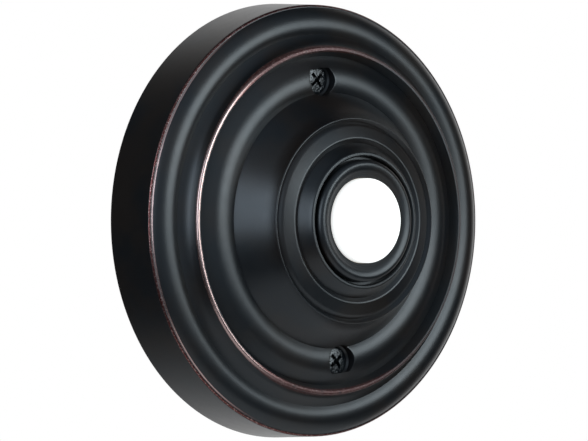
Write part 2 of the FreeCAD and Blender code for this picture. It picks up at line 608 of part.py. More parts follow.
def build_mounting_screw(label, side):
    """Mounting screw: flat head with cross slots, plain shank, thread and point."""
    body = start_body(label)
    tip = screw_head_height + screw_head_dome - screw_length
    turn(body, [
        (0, tip),
        (screw_thread_radius, tip + screw_point),
        (screw_thread_radius, screw_thread_front),
        (screw_shank_radius, screw_thread_front),
        (screw_shank_radius, screw_cone_foot),
        (screw_head_radius, screw_head_edge),
        (screw_head_radius, screw_head_height),
        (screw_head_radius / 2, screw_head_height + screw_head_dome * HALFWAY,
         0, screw_head_height + screw_head_dome),
    ])
    pocket(body, screw_head_height + screw_head_dome, cross_depth, draw_cross, "Cross")
    place(body, 0, roll_radius * side)


def build_barrel():
    """Barrel with its rolled bezel: guides the button, and its rear holds the switch base."""
    body = start_body("button_barrel")
    roll_middle = bezel_radius - bezel_roll
    shift = bezel_roll * QUARTER_MIDDLE
    groove_front = base_back
    groove_back = groove_front - ring_thickness - ring_gap
    mouth = bezel_top - bezel_mouth_drop
    turn(body, [
        (barrel_radius, barrel_end_height),
        (barrel_radius, recess_floor),
        (bezel_radius, recess_floor),
        (bezel_radius, recess_floor + bezel_side),
        (bezel_radius - shift, bezel_top - shift, roll_middle, bezel_top),
        ((roll_middle + bezel_slope_radius) / 2, bezel_top - bezel_slope_drop * (1 - HALFWAY),
         bezel_slope_radius, bezel_top - bezel_slope_drop),
        (bore_radius + (bezel_slope_radius - bore_radius) * QUARTER_MIDDLE,
         bezel_top - bezel_slope_drop - (bezel_mouth_drop - bezel_slope_drop) * QUARTER_MIDDLE,
         bore_radius, mouth),
        (bore_radius, button_stop_height),
        (chamber_radius, button_stop_height),
        (chamber_radius, base_height),
        (seat_radius, base_height),
        (seat_radius, groove_front),
        (groove_bore, groove_front),
        (groove_bore, groove_back),
        (seat_radius, groove_back),
        (seat_radius, barrel_end_height),
    ])


def build_button():
    """White button: a hollow cap with a low dome and a flange that keeps it in the barrel."""
    body = start_body("push_button")
    edge_height = button_height - button_dome
    shift = button_round * QUARTER_MIDDLE
    turn(body, [
        (button_inside, flange_back),
        (flange_radius, flange_back),
        (flange_radius, button_stop_height),
        (button_radius, button_stop_height),
        (button_radius, edge_height - button_round),
        (button_radius - shift, edge_height - shift, button_radius - button_round, edge_height),
        ((button_radius - button_round) / 2, edge_height + button_dome * HALFWAY, 0, button_height),
        (0, button_height - button_roof),
        (button_inside, button_height - button_roof - button_dome / 2),
    ])


def build_contact_bridge():
    """Contact bridge: a flat brass ring that the spring holds against the button."""
    body = start_body("contact_bridge")

    def draw_ring(sketch):
        draw_circle(sketch, 0, 0, chamber_radius - bridge_gap)
        draw_circle(sketch, 0, 0, bridge_inner_radius)

    pad(body, bridge_back, bridge_thickness, draw_ring, "Ring")


def build_return_spring():
    """Return spring: a round wire wound round the lamp, between the base and the bridge."""
    body = start_body("return_spring")
    half = spring_wire / 2
    first = base_height + spring_gap + half
    last = bridge_back - spring_gap - half
    sketch = start_sketch(body, "XY_Plane", "WireOutline")
    draw_circle(sketch, spring_radius, -last, half)
    helix = body.newObject("PartDesign::AdditiveHelix", "Coil")
    helix.Profile = sketch
    helix.ReferenceAxis = (sketch, ["V_Axis"])
    helix.Mode = "pitch-height-angle"
    helix.setExpression("Height", (last - first).text)
    helix.setExpression("Pitch", ((last - first) / spring_turns).text)


def build_nut():
    """Bezel nut: a thin hexagon nut with bevelled corners."""
    body = start_body("bezel_nut")
    nut_front = web_back - washer_thickness
    nut_back = nut_front - nut_thickness
    corner = nut_flats / math.sqrt(3)

    def draw_hexagon(sketch):
        half = nut_flats / 2
        draw_outline(sketch, [
            (half, -corner / 2), (half, corner / 2), (0, corner),
            (-half, corner / 2), (-half, -corner / 2), (0, -corner)])
        draw_circle(sketch, 0, 0, barrel_radius + nut_gap)

    pad(body, nut_back, nut_thickness, draw_hexagon, "Hexagon")
    turn(body, [
        (corner - nut_bevel_width, nut_back - nut_gap),
        (corner + nut_gap, nut_back - nut_gap),
        (corner + nut_gap, nut_back + nut_bevel),
    ], "PartDesign::Groove", "Bevel")


def build_lock_washer():
    """Lock washer: a thin ring with notches all round, between nut and web."""
    body = start_body("lock_washer")
    back = web_back - washer_thickness

    def draw_ring(sketch):
        draw_circle(sketch, 0, 0, washer_radius)
        draw_circle(sketch, 0, 0, barrel_radius + washer_gap)

    def draw_notch(sketch):
        narrow = washer_tooth_gap / 2 - washer_tooth_flare
        wide = washer_tooth_gap / 2 + washer_tooth_flare
        foot = washer_radius - washer_tooth_depth
        outside = washer_radius + washer_tooth_depth
        draw_outline(sketch, [(foot, -narrow), (outside, -wide), (outside, wide), (foot, narrow)])

    pad(body, back, washer_thickness, draw_ring, "Ring")
    notch = pocket(body, web_back, washer_thickness, draw_notch, "Notch")
    document.recompute()
    pattern = body.newObject("PartDesign::PolarPattern", "Teeth")
    pattern.Originals = [notch]
    pattern.Axis = (notch.Profile[0], ["N_Axis"])
    pattern.Angle = 360.0
    pattern.Occurrences = WASHER_NOTCHES
    body.Tip = pattern


def build_base():
    """Switch base: a moulded disc that carries the contacts, the terminals and the lamp."""
    body = start_body("switch_base")

    def draw_disc(sketch):
        draw_circle(sketch, 0, 0, base_radius)
        for side in (-1, 1):
            draw_circle(sketch, post_across * side, -post_down, post_shank_radius + fixing_gap)
            draw_circle(sketch, pin_across * side, pin_up, pin_radius + fixing_gap)

    def draw_screw_holes(sketch):
        for side in (-1, 1):
            draw_circle(sketch, terminal_across * side, 0, terminal_shank_radius + fixing_gap)

    pad(body, base_back, base_thickness, draw_disc, "Disc")
    pocket(body, base_back, terminal_depth + fixing_gap, draw_screw_holes, "ScrewHoles", from_front=False)


def build_snap_ring():
    """Snap ring: an open flat ring in the barrel's groove that keeps the base in."""
    body = start_body("base_snap_ring")
    outer = groove_bore - ring_gap
    inner = seat_radius - ring_width + ring_grip
    back = base_back - ring_thickness

    def draw_ring(sketch):
        draw_circle(sketch, 0, 0, outer)
        draw_circle(sketch, 0, 0, inner)

    def draw_opening(sketch):
        half = ring_opening / 2
        draw_outline(sketch, [(-half, 0), (half, 0), (half, outer + ring_gap), (-half, outer + ring_gap)])

    pad(body, back, ring_thickness, draw_ring, "Ring")
    pocket(body, base_back, ring_thickness, draw_opening, "Opening")


def build_contact(label, side):
    """Contact post: stands on the base under the bridge, and is riveted over its terminal plate."""
    body = start_body(label)
    top = bridge_back - button_travel - closing_gap
    turn(body, [
        (0, plate_back - rivet_height),
        (rivet_radius, plate_back - rivet_height / 2),
        (rivet_radius, plate_back),
        (post_shank_radius, plate_back),
        (post_shank_radius, base_height),
        (post_radius, base_height),
        (post_radius, top),
        (0, top),
    ])
    place(body, post_across * side, -post_down)


def build_terminal_plate(label, side):
    """Terminal plate: half of a stamped brass disc that joins screw, post and lamp pin."""
    body = start_body(label)

    def draw_plate(sketch):
        outside = plate_radius
        split = plate_split
        low = plate_bottom
        draw_outline(sketch, [
            (split * side, plate_top),
            (split * side, -low),
            ((outside * outside - low * low).root() * side, -low),
            (outside * side, 0, (outside * outside - plate_top * plate_top).root() * side, plate_top),
        ])
        draw_circle(sketch, terminal_across * side, 0, terminal_shank_radius + fixing_gap)
        draw_circle(sketch, post_across * side, -post_down, post_shank_radius + fixing_gap)
        draw_circle(sketch, pin_across * side, pin_up, pin_radius + fixing_gap)

    pad(body, plate_back, plate_thickness, draw_plate, "Stamping")


def build_terminal_washer(label, side):
    """Terminal washer: the wire is clamped between it and the screw's head."""
    body = start_body(label)

    def draw_ring(sketch):
        draw_circle(sketch, 0, 0, clamp_radius)
        draw_circle(sketch, 0, 0, terminal_shank_radius + fixing_gap)

    pad(body, clamp_back, clamp_thickness, draw_ring, "Ring")
    place(body, terminal_across * side, 0)


def build_terminal_screw(label, side):
    """Terminal screw: a round slotted head at the back, its shank in the base."""
    body = start_body(label)
    head_back = clamp_back - terminal_head_height
    shift = terminal_head_round * QUARTER_MIDDLE
    turn(body, [
        (0, head_back),
        (terminal_head_radius - terminal_head_round, head_back),
        (terminal_head_radius - shift, head_back + shift,
         terminal_head_radius, head_back + terminal_head_round),
        (terminal_head_radius, clamp_back),
        (terminal_shank_radius, clamp_back),
        (terminal_shank_radius, base_back + terminal_depth),
        (0, base_back + terminal_depth),
    ])

    def draw_slot(sketch):
        half = terminal_slot_width / 2
        reach = terminal_head_radius + fixing_gap
        draw_outline(sketch, [(-reach, -half), (reach, -half), (reach, half), (-reach, half)])

    pocket(body, head_back, terminal_slot_depth, draw_slot, "Slot", from_front=False)
    place(body, terminal_across * side, 0)


def build_lamp_pin(label, side):
    """Lamp pin: a straight wire from the lamp board to a terminal plate."""
    body = start_body(label)

    def draw_wire(sketch):
        draw_circle(sketch, 0, 0, pin_radius)

    back = plate_back - pin_proud
    pad(body, back, board_front + pin_proud - back, draw_wire, "Wire")
    place(body, pin_across * side, pin_up)


def build_board():
    """Lamp board: a small round circuit board inside the spring."""
    body = start_body("lamp_board")

    def draw_disc(sketch):
        draw_circle(sketch, 0, 0, board_radius)
        for side in (-1, 1):
            draw_circle(sketch, pin_across * side, pin_up, pin_radius + fixing_gap)
            draw_circle(sketch, lead_span / 2 * side, -resistor_down, lead_radius + fixing_gap)

    pad(body, base_height, board_thickness, draw_disc, "Disc")


def build_lamp():
    """Lamp: a small round light-emitting diode that shines into the hollow button."""
    body = start_body("led_lamp")
    shoulder = board_front + lamp_length - lamp_radius
    turn(body, [
        (0, board_front),
        (lamp_foot_radius, board_front),
        (lamp_foot_radius, board_front + lamp_foot_height),
        (lamp_radius, board_front + lamp_foot_height),
        (lamp_radius, shoulder),
        (lamp_radius * math.sqrt(0.5), shoulder + lamp_radius * math.sqrt(0.5), 0, shoulder + lamp_radius),
    ])


def build_resistor():
    """Resistor: stands on the board beside the lamp, its upper lead bent back down."""
    body = start_body("resistor")
    low = board_front + resistor_standoff
    high = low + resistor_length
    turn(body, [
        (0, base_height + fixing_gap),
        (lead_radius, base_height + fixing_gap),
        (lead_radius, low),
        (resistor_radius, low),
        (resistor_radius, low + resistor_cap),
        (resistor_waist, low + resistor_cap + resistor_taper),
        (resistor_waist, high - resistor_cap - resistor_taper),
        (resistor_radius, high - resistor_cap),
        (resistor_radius, high),
        (0, high),
    ])
    bend_start = high + lead_lift
    section = start_sketch(body, "XZ_Plane", "LeadSection", high - fixing_gap)
    draw_circle(section, 0, 0, lead_radius)
    route = start_sketch(body, "XY_Plane", "LeadRoute")
    draw_outline(route, in_front([
        (0, high - fixing_gap),
        (0, bend_start),
        (lead_span / 2, bend_start + lead_span / 2, lead_span, bend_start),
        (lead_span, base_height + fixing_gap),
    ]), closed=False)
    lead = body.newObject("PartDesign::AdditivePipe", "UpperLead")
    lead.Profile = section
    lead.Spine = (route, ["Edge1", "Edge2", "Edge3"])
    place(body, -lead_span / 2, -resistor_down)


def build_all():
    """Build every piece of the object."""
    build_escutcheon()
    build_mounting_screw("mounting_screw_top", 1)
    build_mounting_screw("mounting_screw_bottom", -1)
    build_barrel()
    build_button()
    build_contact_bridge()
    build_return_spring()
    build_nut()
    build_lock_washer()
    build_base()
    build_snap_ring()
    for word, side in (("left", -1), ("right", 1)):
        build_contact(f"contact_{word}", side)
        build_terminal_plate(f"terminal_plate_{word}", side)
        build_terminal_washer(f"terminal_washer_{word}", side)
        build_terminal_screw(f"terminal_screw_{word}", side)
        build_lamp_pin(f"lamp_pin_{word}", side)
    build_board()
    build_lamp()
    build_resistor()


def check_and_write():
    """Stop if anything failed to build, then write each piece to its own file."""
    document.recompute()
    for item in document.Objects:
        if "Invalid" in item.State or "Error" in item.State:
            raise RuntimeError(f"{item.Name} failed: {item.State}")
    os.makedirs("parts", exist_ok=True)
    for body in pieces:
        shape = body.Shape
        if shape.isNull() or not shape.isValid() or len(shape.Solids) != 1:
            raise RuntimeError(f"{body.Label} isn't one valid solid")
    for body in pieces:
        body.Shape.exportStep(f"parts/{body.Label}.step")
        print(body.Label, round(body.Shape.Volume, 3))


build_all()
check_and_write()
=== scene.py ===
import json
import math

import bmesh
import bpy
import numpy as np
from bpy.props import FloatProperty, FloatVectorProperty, PointerProperty
from mathutils import Matrix, Vector


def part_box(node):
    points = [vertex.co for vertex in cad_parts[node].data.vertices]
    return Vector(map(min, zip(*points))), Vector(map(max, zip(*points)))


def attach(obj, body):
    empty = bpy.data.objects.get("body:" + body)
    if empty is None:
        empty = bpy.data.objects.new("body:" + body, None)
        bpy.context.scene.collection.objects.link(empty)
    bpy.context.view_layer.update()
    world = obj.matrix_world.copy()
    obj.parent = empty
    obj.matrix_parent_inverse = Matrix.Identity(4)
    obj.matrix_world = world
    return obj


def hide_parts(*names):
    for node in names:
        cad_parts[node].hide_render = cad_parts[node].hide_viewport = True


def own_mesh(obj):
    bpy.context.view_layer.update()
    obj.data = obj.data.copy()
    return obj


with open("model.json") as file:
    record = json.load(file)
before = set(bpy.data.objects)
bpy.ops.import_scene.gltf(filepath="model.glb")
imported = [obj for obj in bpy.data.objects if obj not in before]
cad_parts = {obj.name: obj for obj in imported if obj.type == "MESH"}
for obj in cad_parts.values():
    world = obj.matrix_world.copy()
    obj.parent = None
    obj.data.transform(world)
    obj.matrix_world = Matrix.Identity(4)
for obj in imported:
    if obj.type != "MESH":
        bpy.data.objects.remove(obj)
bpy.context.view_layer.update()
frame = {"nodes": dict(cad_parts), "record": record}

from types import SimpleNamespace

bl_info = {
    "name": "Doorbell push button",
    "version": (1, 0, 0),
    "blender": (4, 5, 0),
    "location": "View3D > Sidebar > Doorbell",
    "description": "Round moulded doorbell push button in a rubbed dark bronze finish",
    "category": "Object",
}

# The wall is the plane Y = 0, the front faces -Y and +Z is up.
# A height is a distance in front of the wall, so it is the Y coordinate with its sign turned.
# Outlines are worked out in millimetres, as pairs of radius and height.
MILLIMETRE = 0.001
ARC_STEP = math.radians(6)
FINE_ARC_STEP = math.radians(1)
TURN_STEPS = 360
MERGE_DISTANCE = 0.002 * MILLIMETRE
SHARP_ANGLE = math.radians(32)
QUARTER_MIDDLE = 1 - math.sqrt(0.5)

# Each moulding of the rosette from the rim inwards: how far in it lies from the one before,
# and how far it rises from there
MOULDINGS = (
    ("band", 2.7, 1.26), ("shoulder", 0.85, 0.14), ("hollow", 1.05, -0.34), ("step_side", 0.9, 0.66),
    ("step", 0.5, 0.63), ("lip", 0.4, 1.25), ("lip_end", 0.5, 0.0), ("cove_side", 0.4, -0.5),
    ("cove", 0.45, -0.62), ("roll_foot", 1.7, 1.07), ("roll", 1.7, 0.5), ("valley", 1.95, -0.3),
    ("dome_side", 1.87, 2.5), ("dome_top", 1.73, 2.7), ("groove", 0.7, -0.37),
    ("bead_outer", 0.45, 0.47), ("bead_inner", 1.9, 0.71), ("collar_foot", 0.7, -0.38),
    ("collar_side", 1.1, 1.38), ("collar", 0.25, 0.39))
EDGE_ROUND = 0.4
RIM_DRAFT = 0.2
LIP_ROUND = 0.25
DOME_ROUND = 0.2
SHOULDER_ROUND = 0.75
BEAD_ROUND = 0.25
COLLAR_ROUND = 0.2
COLLAR_LIP = 0.6
INNER_ROUND = 1.2
DOME_WALL = 1.25
WEB_EDGE = 1.35

# Screw heads and their seats
HEAD_CONE = 1.05
HEAD_RIM = 0.15
HEAD_DOME = 0.15
SEAT_GAP = 0.02
HOLE_GAP = 0.15
SCREW_POINT = 2.6
SCREW_PITCH = 0.95
SCREW_THREAD_DEPTH = 0.28
THREAD_FRONT = 0.3
CROSS_TAPER = 0.72
CROSS_TURN = math.radians(35)
WINDOW_STEPS = 13
WINDOW_REACH = (3.2, 3.5)
UNDER_REACH = 4.3

# Button unit
BEZEL_SIDE = 1.0
BEZEL_ROLL = 0.8
BEZEL_SLOPE_RADIUS = 6.7
BEZEL_SLOPE_DROP = 0.6
BEZEL_MOUTH_DROP = 0.95
BARREL_GAP = 0.15
BARREL_PITCH = 0.9
BARREL_THREAD_DEPTH = 0.3
STOP_DEPTH = 1.2
FLANGE = (0.6, 1.2)
BUTTON_DOME = 0.6
BUTTON_ROUND = 0.55
BUTTON_ROOF = 1.3
BASE_DEPTH = 8.8
BASE_THICKNESS = 3.0
BASE_BORE = 7.2
RING_GROOVE = (0.3, 0.65)
BRIDGE_THICKNESS = 0.5
SPRING_GAP = 0.02
SPRING_TURNS = 4.5

# Finishes, whose names carry a prefix of their own because the frame brings materials too
COAT_IOR = 1.5
FINISH_PREFIX = "doorbell_"

# Stage: plain floor, two soft lights, a white studio and the photograph's camera
FLOOR_SIZE = 0.9
FLOOR_DEPTH = 0.45
KEY_DIRECTION = (0.4, -0.9, 0.14)
KEY_DISTANCE = 0.75
KEY_SIZE = (0.54, 0.32)
KEY_RADIANCE = 5.9
KEY_COLOUR = (0.82, 0.94, 1.0)
SIDE_DIRECTION = (-0.93, -0.25, 0.27)
SIDE_DISTANCE = 0.8
SIDE_SIZE = (0.5, 0.56)
SIDE_RADIANCE = 3.8
SIDE_COLOUR = (0.72, 0.86, 1.0)
GLOW_DIRECTION = (-0.2, -0.85, 0.45)
GLOW_EDGE = (0.35, 0.95)
GLOW_LIGHT = (0.36, 0.45, 0.54)
GLOW_DARK = (0.02, 0.02, 0.02)
MATT_LEVEL = (0.4, 0.42, 0.44)
BACKDROP_DIRECTION = (0.652, 0.758, -0.06)
BACKDROP_EDGE = (0.5, 0.85)
CAMERA_DIRECTION = (-0.6493, -0.758, 0.059)
CAMERA_UP = (0.0906, 0.0, 0.9959)
CAMERA_AIM = (-0.00014, -0.00403, 0.00003)
CAMERA_DISTANCE = 2.388
CAMERA_LENS = 1000.0


# Shader expressions
class Socket:
    """An output socket; arithmetic on it adds Math nodes to its tree."""

    def __init__(self, tree, socket):
        self.tree = tree
        self.socket = socket

    def math(self, operation, *values):
        node = self.tree.nodes.new("ShaderNodeMath")
        node.operation = operation
        for place, value in enumerate(values):
            if isinstance(value, Socket):
                self.tree.links.new(value.socket, node.inputs[place])
            else:
                node.inputs[place].default_value = value
        return Socket(self.tree, node.outputs[0])

    def __add__(self, other):
        return self.math("ADD", self, other)

    def __sub__(self, other):
        return self.math("SUBTRACT", self, other)

    def __rsub__(self, other):
        return self.math("SUBTRACT", other, self)

    def __mul__(self, other):
        return self.math("MULTIPLY", self, other)

    def __truediv__(self, other):
        return self.math("DIVIDE", self, other)

    def __neg__(self):
        return self.math("MULTIPLY", self, -1.0)

    __radd__ = __add__
    __rmul__ = __mul__

    def root(self):
        return self.math("SQRT", self)

    def size(self):
        return self.math("ABSOLUTE", self)

    def larger(self, other):
        return self.math("MAXIMUM", self, other)

    def rise(self, low, high):
        """0 below low and 1 above high, with a smooth step between."""
        node = self.tree.nodes.new("ShaderNodeMapRange")
        node.interpolation_type = "SMOOTHSTEP"
        self.tree.links.new(self.socket, node.inputs["Value"])
        node.inputs["From Min"].default_value = low
        node.inputs["From Max"].default_value = high
        return Socket(self.tree, node.outputs["Result"])


class Finish:
    """A node tree under construction, of a material or of the world."""

    def __init__(self, tree):
        self.tree = tree
        self.tree.nodes.clear()

    def node(self, kind, settings=None, inputs=None, output=0):
        """Add one node: its settings first, then the values or links of its sockets."""
        node = self.tree.nodes.new(kind)
        for name, value in (settings or {}).items():
            setattr(node, name, value)
        for name, value in (inputs or {}).items():
            if isinstance(value, Socket):
                self.tree.links.new(value.socket, node.inputs[name])
            else:
                node.inputs[name].default_value = value
        return Socket(self.tree, node.outputs[output]) if node.outputs else None

    def mix(self, factor, first, second):
        """Blend two colours."""
        colours = {place: value if isinstance(value, Socket) else (*value, 1.0)
                   for place, value in ((6, first), (7, second))}
        return self.node("ShaderNodeMix", {"data_type": "RGBA"}, {0: factor, **colours}, output=2)

    def place(self):
        """Object coordinates in millimetres, then their X, Y and Z."""
        metres = self.node("ShaderNodeTexCoord", output="Object")
        scaled = self.stretched(metres, (1 / MILLIMETRE,) * 3)
        return scaled, *(self.node("ShaderNodeSeparateXYZ", None, {0: scaled}, axis) for axis in "XYZ")

    def ring_place(self):
        """The place in millimetres, then the distance from the rosette's axis and the height."""
        scaled, across, back, up = self.place()
        return scaled, (across * across + up * up).root(), -back

    def stretched(self, place, factors):
        """The place with each axis scaled by its factor."""
        return self.node("ShaderNodeVectorMath", {"operation": "MULTIPLY"}, {0: place, 1: factors})

    def grain(self, place, scale, detail=2.0, roughness=0.5):
        """Smooth noise from 0 to 1, with scale features to the millimetre."""
        return self.node("ShaderNodeTexNoise", None, {
            "Vector": place, "Scale": scale, "Detail": detail, "Roughness": roughness})

    def bump(self, height, distance, strength=1.0):
        """A normal from a height that runs from 0 to 1, over a distance in millimetres."""
        return self.node("ShaderNodeBump", None, {
            "Height": height, "Distance": distance * MILLIMETRE, "Strength": strength})

    def surface(self, inputs):
        """Finish a material with a principled surface."""
        shader = self.node("ShaderNodeBsdfPrincipled", None, inputs)
        self.node("ShaderNodeOutputMaterial", None, {"Surface": shader})


# Finishes
def new_finish(name):
    """An empty material with its builder."""
    material = bpy.data.materials.new(FINISH_PREFIX + name)
    material.use_nodes = True
    return material, Finish(material.node_tree)


def bronze_finish(sizes, colours):
    """Near-black satin bronze coat, rubbed through to copper along its proud edges, with painted highlights
    on those edges: pale on the left, where the side lamp catches them, and fainter copper towards the right.
    """
    material, finish = new_finish("bronze_finish")
    place, radius, height = finish.ring_place()
    across, up = (finish.node("ShaderNodeSeparateXYZ", None, {0: place}, axis) for axis in "XZ")
    broad = finish.grain(place, 0.09, 3.0)
    patches = finish.grain(place, 0.7, 4.0, 0.6)
    fine = finish.grain(place, 4.0, 3.0, 0.65)
    # Distance from the rubbed edges, and from a line of painted highlight just inside the rim's edge, in
    # millimetres
    rim_edge, rim_glint_line, lip_edge = (ring_distance(radius, height, *ring) for ring in (
        (sizes.rim_radius - 0.36, sizes.rim_height - 0.12),
        (sizes.rim_radius - 0.72, sizes.rim_height + 0.05),
        (sizes.lip_radius + 0.18, sizes.lip_height - 0.12)))
    # Painted light: the rubbed copper is painted strongest and palest on the left, where the side lamp
    # catches the edges, dusky at the top and bottom, and faintest on the right, which faces the dark. The
    # copper itself is real wear.
    turn = across / radius
    left, worn = 1 - turn.rise(-0.75, -0.35), 1 - turn.rise(0.0, 0.75)
    dusky = worn - left * worn
    # Rubbed copper on the rim's edge: real wear, fading towards the right as painted shade
    red = (0.05 + 0.22 * patches - rim_edge).rise(-0.04, 0.04) * (fine + 0.5 * patches).rise(0.5, 0.66)
    # A thin line of painted highlight just inside the rim's edge, shown on the left only
    line = (0.06 + 0.1 * patches - rim_glint_line).rise(-0.04, 0.03) * (fine + 0.6 * patches).rise(0.4, 0.55)
    # Rubbed copper on the lip: real wear, wider at the top and bottom and painted stronger on the lit left
    lip = (0.15 + 0.3 * patches + 0.4 * dusky - lip_edge).rise(-0.08, 0.05)
    lip = lip * (fine + 0.6 * patches + 0.3 * left).rise(0.56, 0.72)
    # Real copper wear together with the painted highlight line
    rub_and_glint = (red * (0.3 + 0.7 * worn)).larger(line * left).larger(lip * (0.15 + 0.85 * left + 0.35 * dusky))
    # Painted highlight: pale copper on the rim's line and the lip's edge on the left, and pale specks
    # everywhere but the right
    painted_glint = left * line.larger((0.16 + 0.26 * patches - lip_edge).rise(-0.04, 0.04))
    painted_glint = painted_glint.larger(0.6 * fine.rise(0.54, 0.6) * worn)
    coat = finish.mix(broad.rise(0.4, 0.62), colours.bronze, colours.bronze_warm)
    coat = finish.mix(0.3 * patches, coat, colours.bronze_warm)
    # The bezel's mouth is dull beside the button
    mouth = 0.4 * (height - sizes.recess_floor).rise(0.0, 0.3) * (1 - radius.rise(7.0, 7.5))
    # Copper of the rubbed edges, pale where the highlight is painted
    copper = finish.mix(painted_glint, colours.copper, colours.copper_glint)
    finish.surface({
        "Base Color": finish.mix(rub_and_glint, coat, copper),
        "Metallic": rub_and_glint,
        "Roughness": 0.28 + 0.08 * patches + 0.05 * fine - 0.08 * rub_and_glint + mouth,
        "IOR": COAT_IOR,
        "Normal": finish.bump(0.7 * fine + 0.3 * patches, 0.006),
    })
    return material


def ring_distance(radius, height, ring_radius, ring_height):
    """Distance from a ring round the rosette's axis."""
    across, along = radius - ring_radius, height - ring_height
    return (across * across + along * along).root()


def plain_finish(name, colour, other, roughness, scale=1.5, metallic=0.0, bump=0.004):
    """A worn plain finish: two near shades in patches, with fine grain in gloss and surface."""
    material, finish = new_finish(name)
    place = finish.place()[0]
    patches = finish.grain(place, scale, 3.0, 0.6)
    fine = finish.grain(place, 8 * scale, 2.0)
    finish.surface({
        "Base Color": finish.mix(patches.rise(0.35, 0.65), colour, other),
        "Metallic": metallic,
        "Roughness": roughness + 0.12 * patches - 0.06,
        "Normal": finish.bump(fine, bump),
    })
    return material


def button_finish(sizes, colours):
    """White moulded plastic, creamy at its side, lit from behind by its lamp; the glow is strong enough to
    also paint the face a flat white over its shading.
    """
    material, finish = new_finish("button_white")
    place, radius, height = finish.ring_place()
    patches = finish.grain(place, 0.5, 2.0)
    face = height.rise(sizes.button_height - 2.6, sizes.button_height - 2.2)
    colour = finish.mix(face * (0.85 + 0.15 * patches), colours.button_side, colours.button)
    finish.surface({
        "Base Color": colour,
        "Roughness": 0.3 + 0.08 * patches,
        # Glow of the lamp behind the face, and also painted light: strong enough to paint out the face's
        # shading
        "Emission Color": finish.mix(face, tuple(0.3 * part for part in colours.button_side), colours.button),
        "Emission Strength": 0.75,
        "Normal": finish.bump(finish.grain(place, 4.0, 2.0), 0.003),
    })
    return material


def lamp_finish(colours):
    """Clear lamp: glossy resin, faintly cloudy inside."""
    material, finish = new_finish("lamp_clear")
    place = finish.place()[0]
    cloud = finish.grain(place, 1.2, 2.0)
    finish.surface({
        "Base Color": finish.mix(cloud, colours.lamp, tuple(0.8 * part for part in colours.lamp)),
        "Roughness": 0.08 + 0.06 * cloud,
        "Transmission Weight": 0.7,
        "IOR": 1.5,
    })
    return material


def resistor_finish(sizes, colours):
    """Pale resistor body with four colour bands, and bare wire at its ends."""
    material, finish = new_finish("resistor_body")
    place, across, back, up = finish.place()
    height = -back
    low = sizes.resistor_foot
    mottle = finish.grain(place, 2.0, 2.0)
    shade = finish.mix(mottle, colours.resistor, tuple(0.85 * part for part in colours.resistor))
    for step, band in enumerate((colours.copper, colours.bronze, colours.band, colours.brass)):
        middle = low + 0.55 + 0.55 * step
        near = 1 - (height - middle).size().rise(0.1, 0.14)
        shade = finish.mix(near, shade, band)
    wire = 1 - (height - low - 1.4).size().rise(1.4, 1.42)
    finish.surface({
        "Base Color": finish.mix(wire, colours.steel, shade),
        "Metallic": 1 - wire,
        "Roughness": 0.35 + 0.1 * mottle,
    })
    return material


def all_finishes(sizes, colours):
    """Each finish by the name of its slot in the record."""
    brass = {"metallic": 1.0, "scale": 2.0}
    return {
        "bronze_finish": bronze_finish(sizes, colours),
        "button_white": button_finish(sizes, colours),
        "screw_black": plain_finish("screw_black", colours.screw, colours.bronze, 0.2, 0.35, bump=0.09),
        "plated_steel": plain_finish(
            "plated_steel", colours.steel, colours.steel_dull, 0.32, 1.8, 1.0),
        "spring_steel": plain_finish(
            "spring_steel", colours.steel_dull, colours.steel, 0.28, 3.0, 1.0),
        "contact_brass": plain_finish("contact_brass", colours.brass, colours.brass_dull, 0.3, **brass),
        "base_plastic": plain_finish("base_plastic", colours.base, colours.bronze_warm, 0.45, 1.2),
        "board_laminate": plain_finish("board_laminate", colours.board, colours.board_dark, 0.5, 2.5),
        "lamp_clear": lamp_finish(colours),
        "resistor_body": resistor_finish(sizes, colours),
        "tinned_wire": plain_finish("tinned_wire", colours.steel, colours.steel_dull, 0.4, 3.0, 1.0),
    }


# Surfaces
def arc(start, middle, end, step):
    """Points on the circle through three points, evenly by angle, without the first."""
    (ax, ay), (bx, by), (cx, cy) = start, middle, end
    squares = [ax * ax + ay * ay, bx * bx + by * by, cx * cx + cy * cy]
    twice = 2 * (ax * (by - cy) + bx * (cy - ay) + cx * (ay - by))
    centre_x = (squares[0] * (by - cy) + squares[1] * (cy - ay) + squares[2] * (ay - by)) / twice
    centre_y = (squares[0] * (cx - bx) + squares[1] * (ax - cx) + squares[2] * (bx - ax)) / twice
    first = math.atan2(ay - centre_y, ax - centre_x)
    last = math.atan2(cy - centre_y, cx - centre_x)
    turn = (bx - ax) * (cy - by) - (by - ay) * (cx - bx)
    sweep = (last - first) % math.tau if turn > 0 else -((first - last) % math.tau)
    steps = max(3, math.ceil(abs(sweep) / step))
    angles = first + sweep * np.arange(1, steps + 1) / steps
    reach = math.hypot(ax - centre_x, ay - centre_y)
    return np.stack((centre_x + reach * np.cos(angles), centre_y + reach * np.sin(angles)), axis=1)


def outline(points, arc_step=ARC_STEP):
    """An outline's points: a pair ends a straight line, four values end an arc after its middle."""
    route = [np.array([points[0]], float)]
    for point in points[1:]:
        here = tuple(route[-1][-1])
        if len(point) == 2:
            route.append(np.array([point], float))
        else:
            route.append(arc(here, point[:2], point[2:], arc_step))
    return np.concatenate(route)


def turned(profile, angles):
    """A profile carried round the Y axis: X = r cos a, Y = -h and Z = r sin a."""
    radius, height = profile[:, :1], profile[:, 1:]
    front = np.broadcast_to(-height, (len(profile), len(angles)))
    return np.stack((radius * np.cos(angles), front, radius * np.sin(angles)), axis=-1)


def grid_faces(rows, columns, closed_rows=False, closed_columns=True):
    """Quads between neighbouring points of a grid; a closed direction wraps round."""
    numbers = np.arange(rows * columns).reshape(rows, columns)
    if closed_rows:
        numbers = np.vstack((numbers, numbers[:1]))
    if closed_columns:
        numbers = np.hstack((numbers, numbers[:, :1]))
    corners = numbers[:-1, :-1], numbers[1:, :-1], numbers[1:, 1:], numbers[:-1, 1:]
    return np.stack(corners, axis=-1)


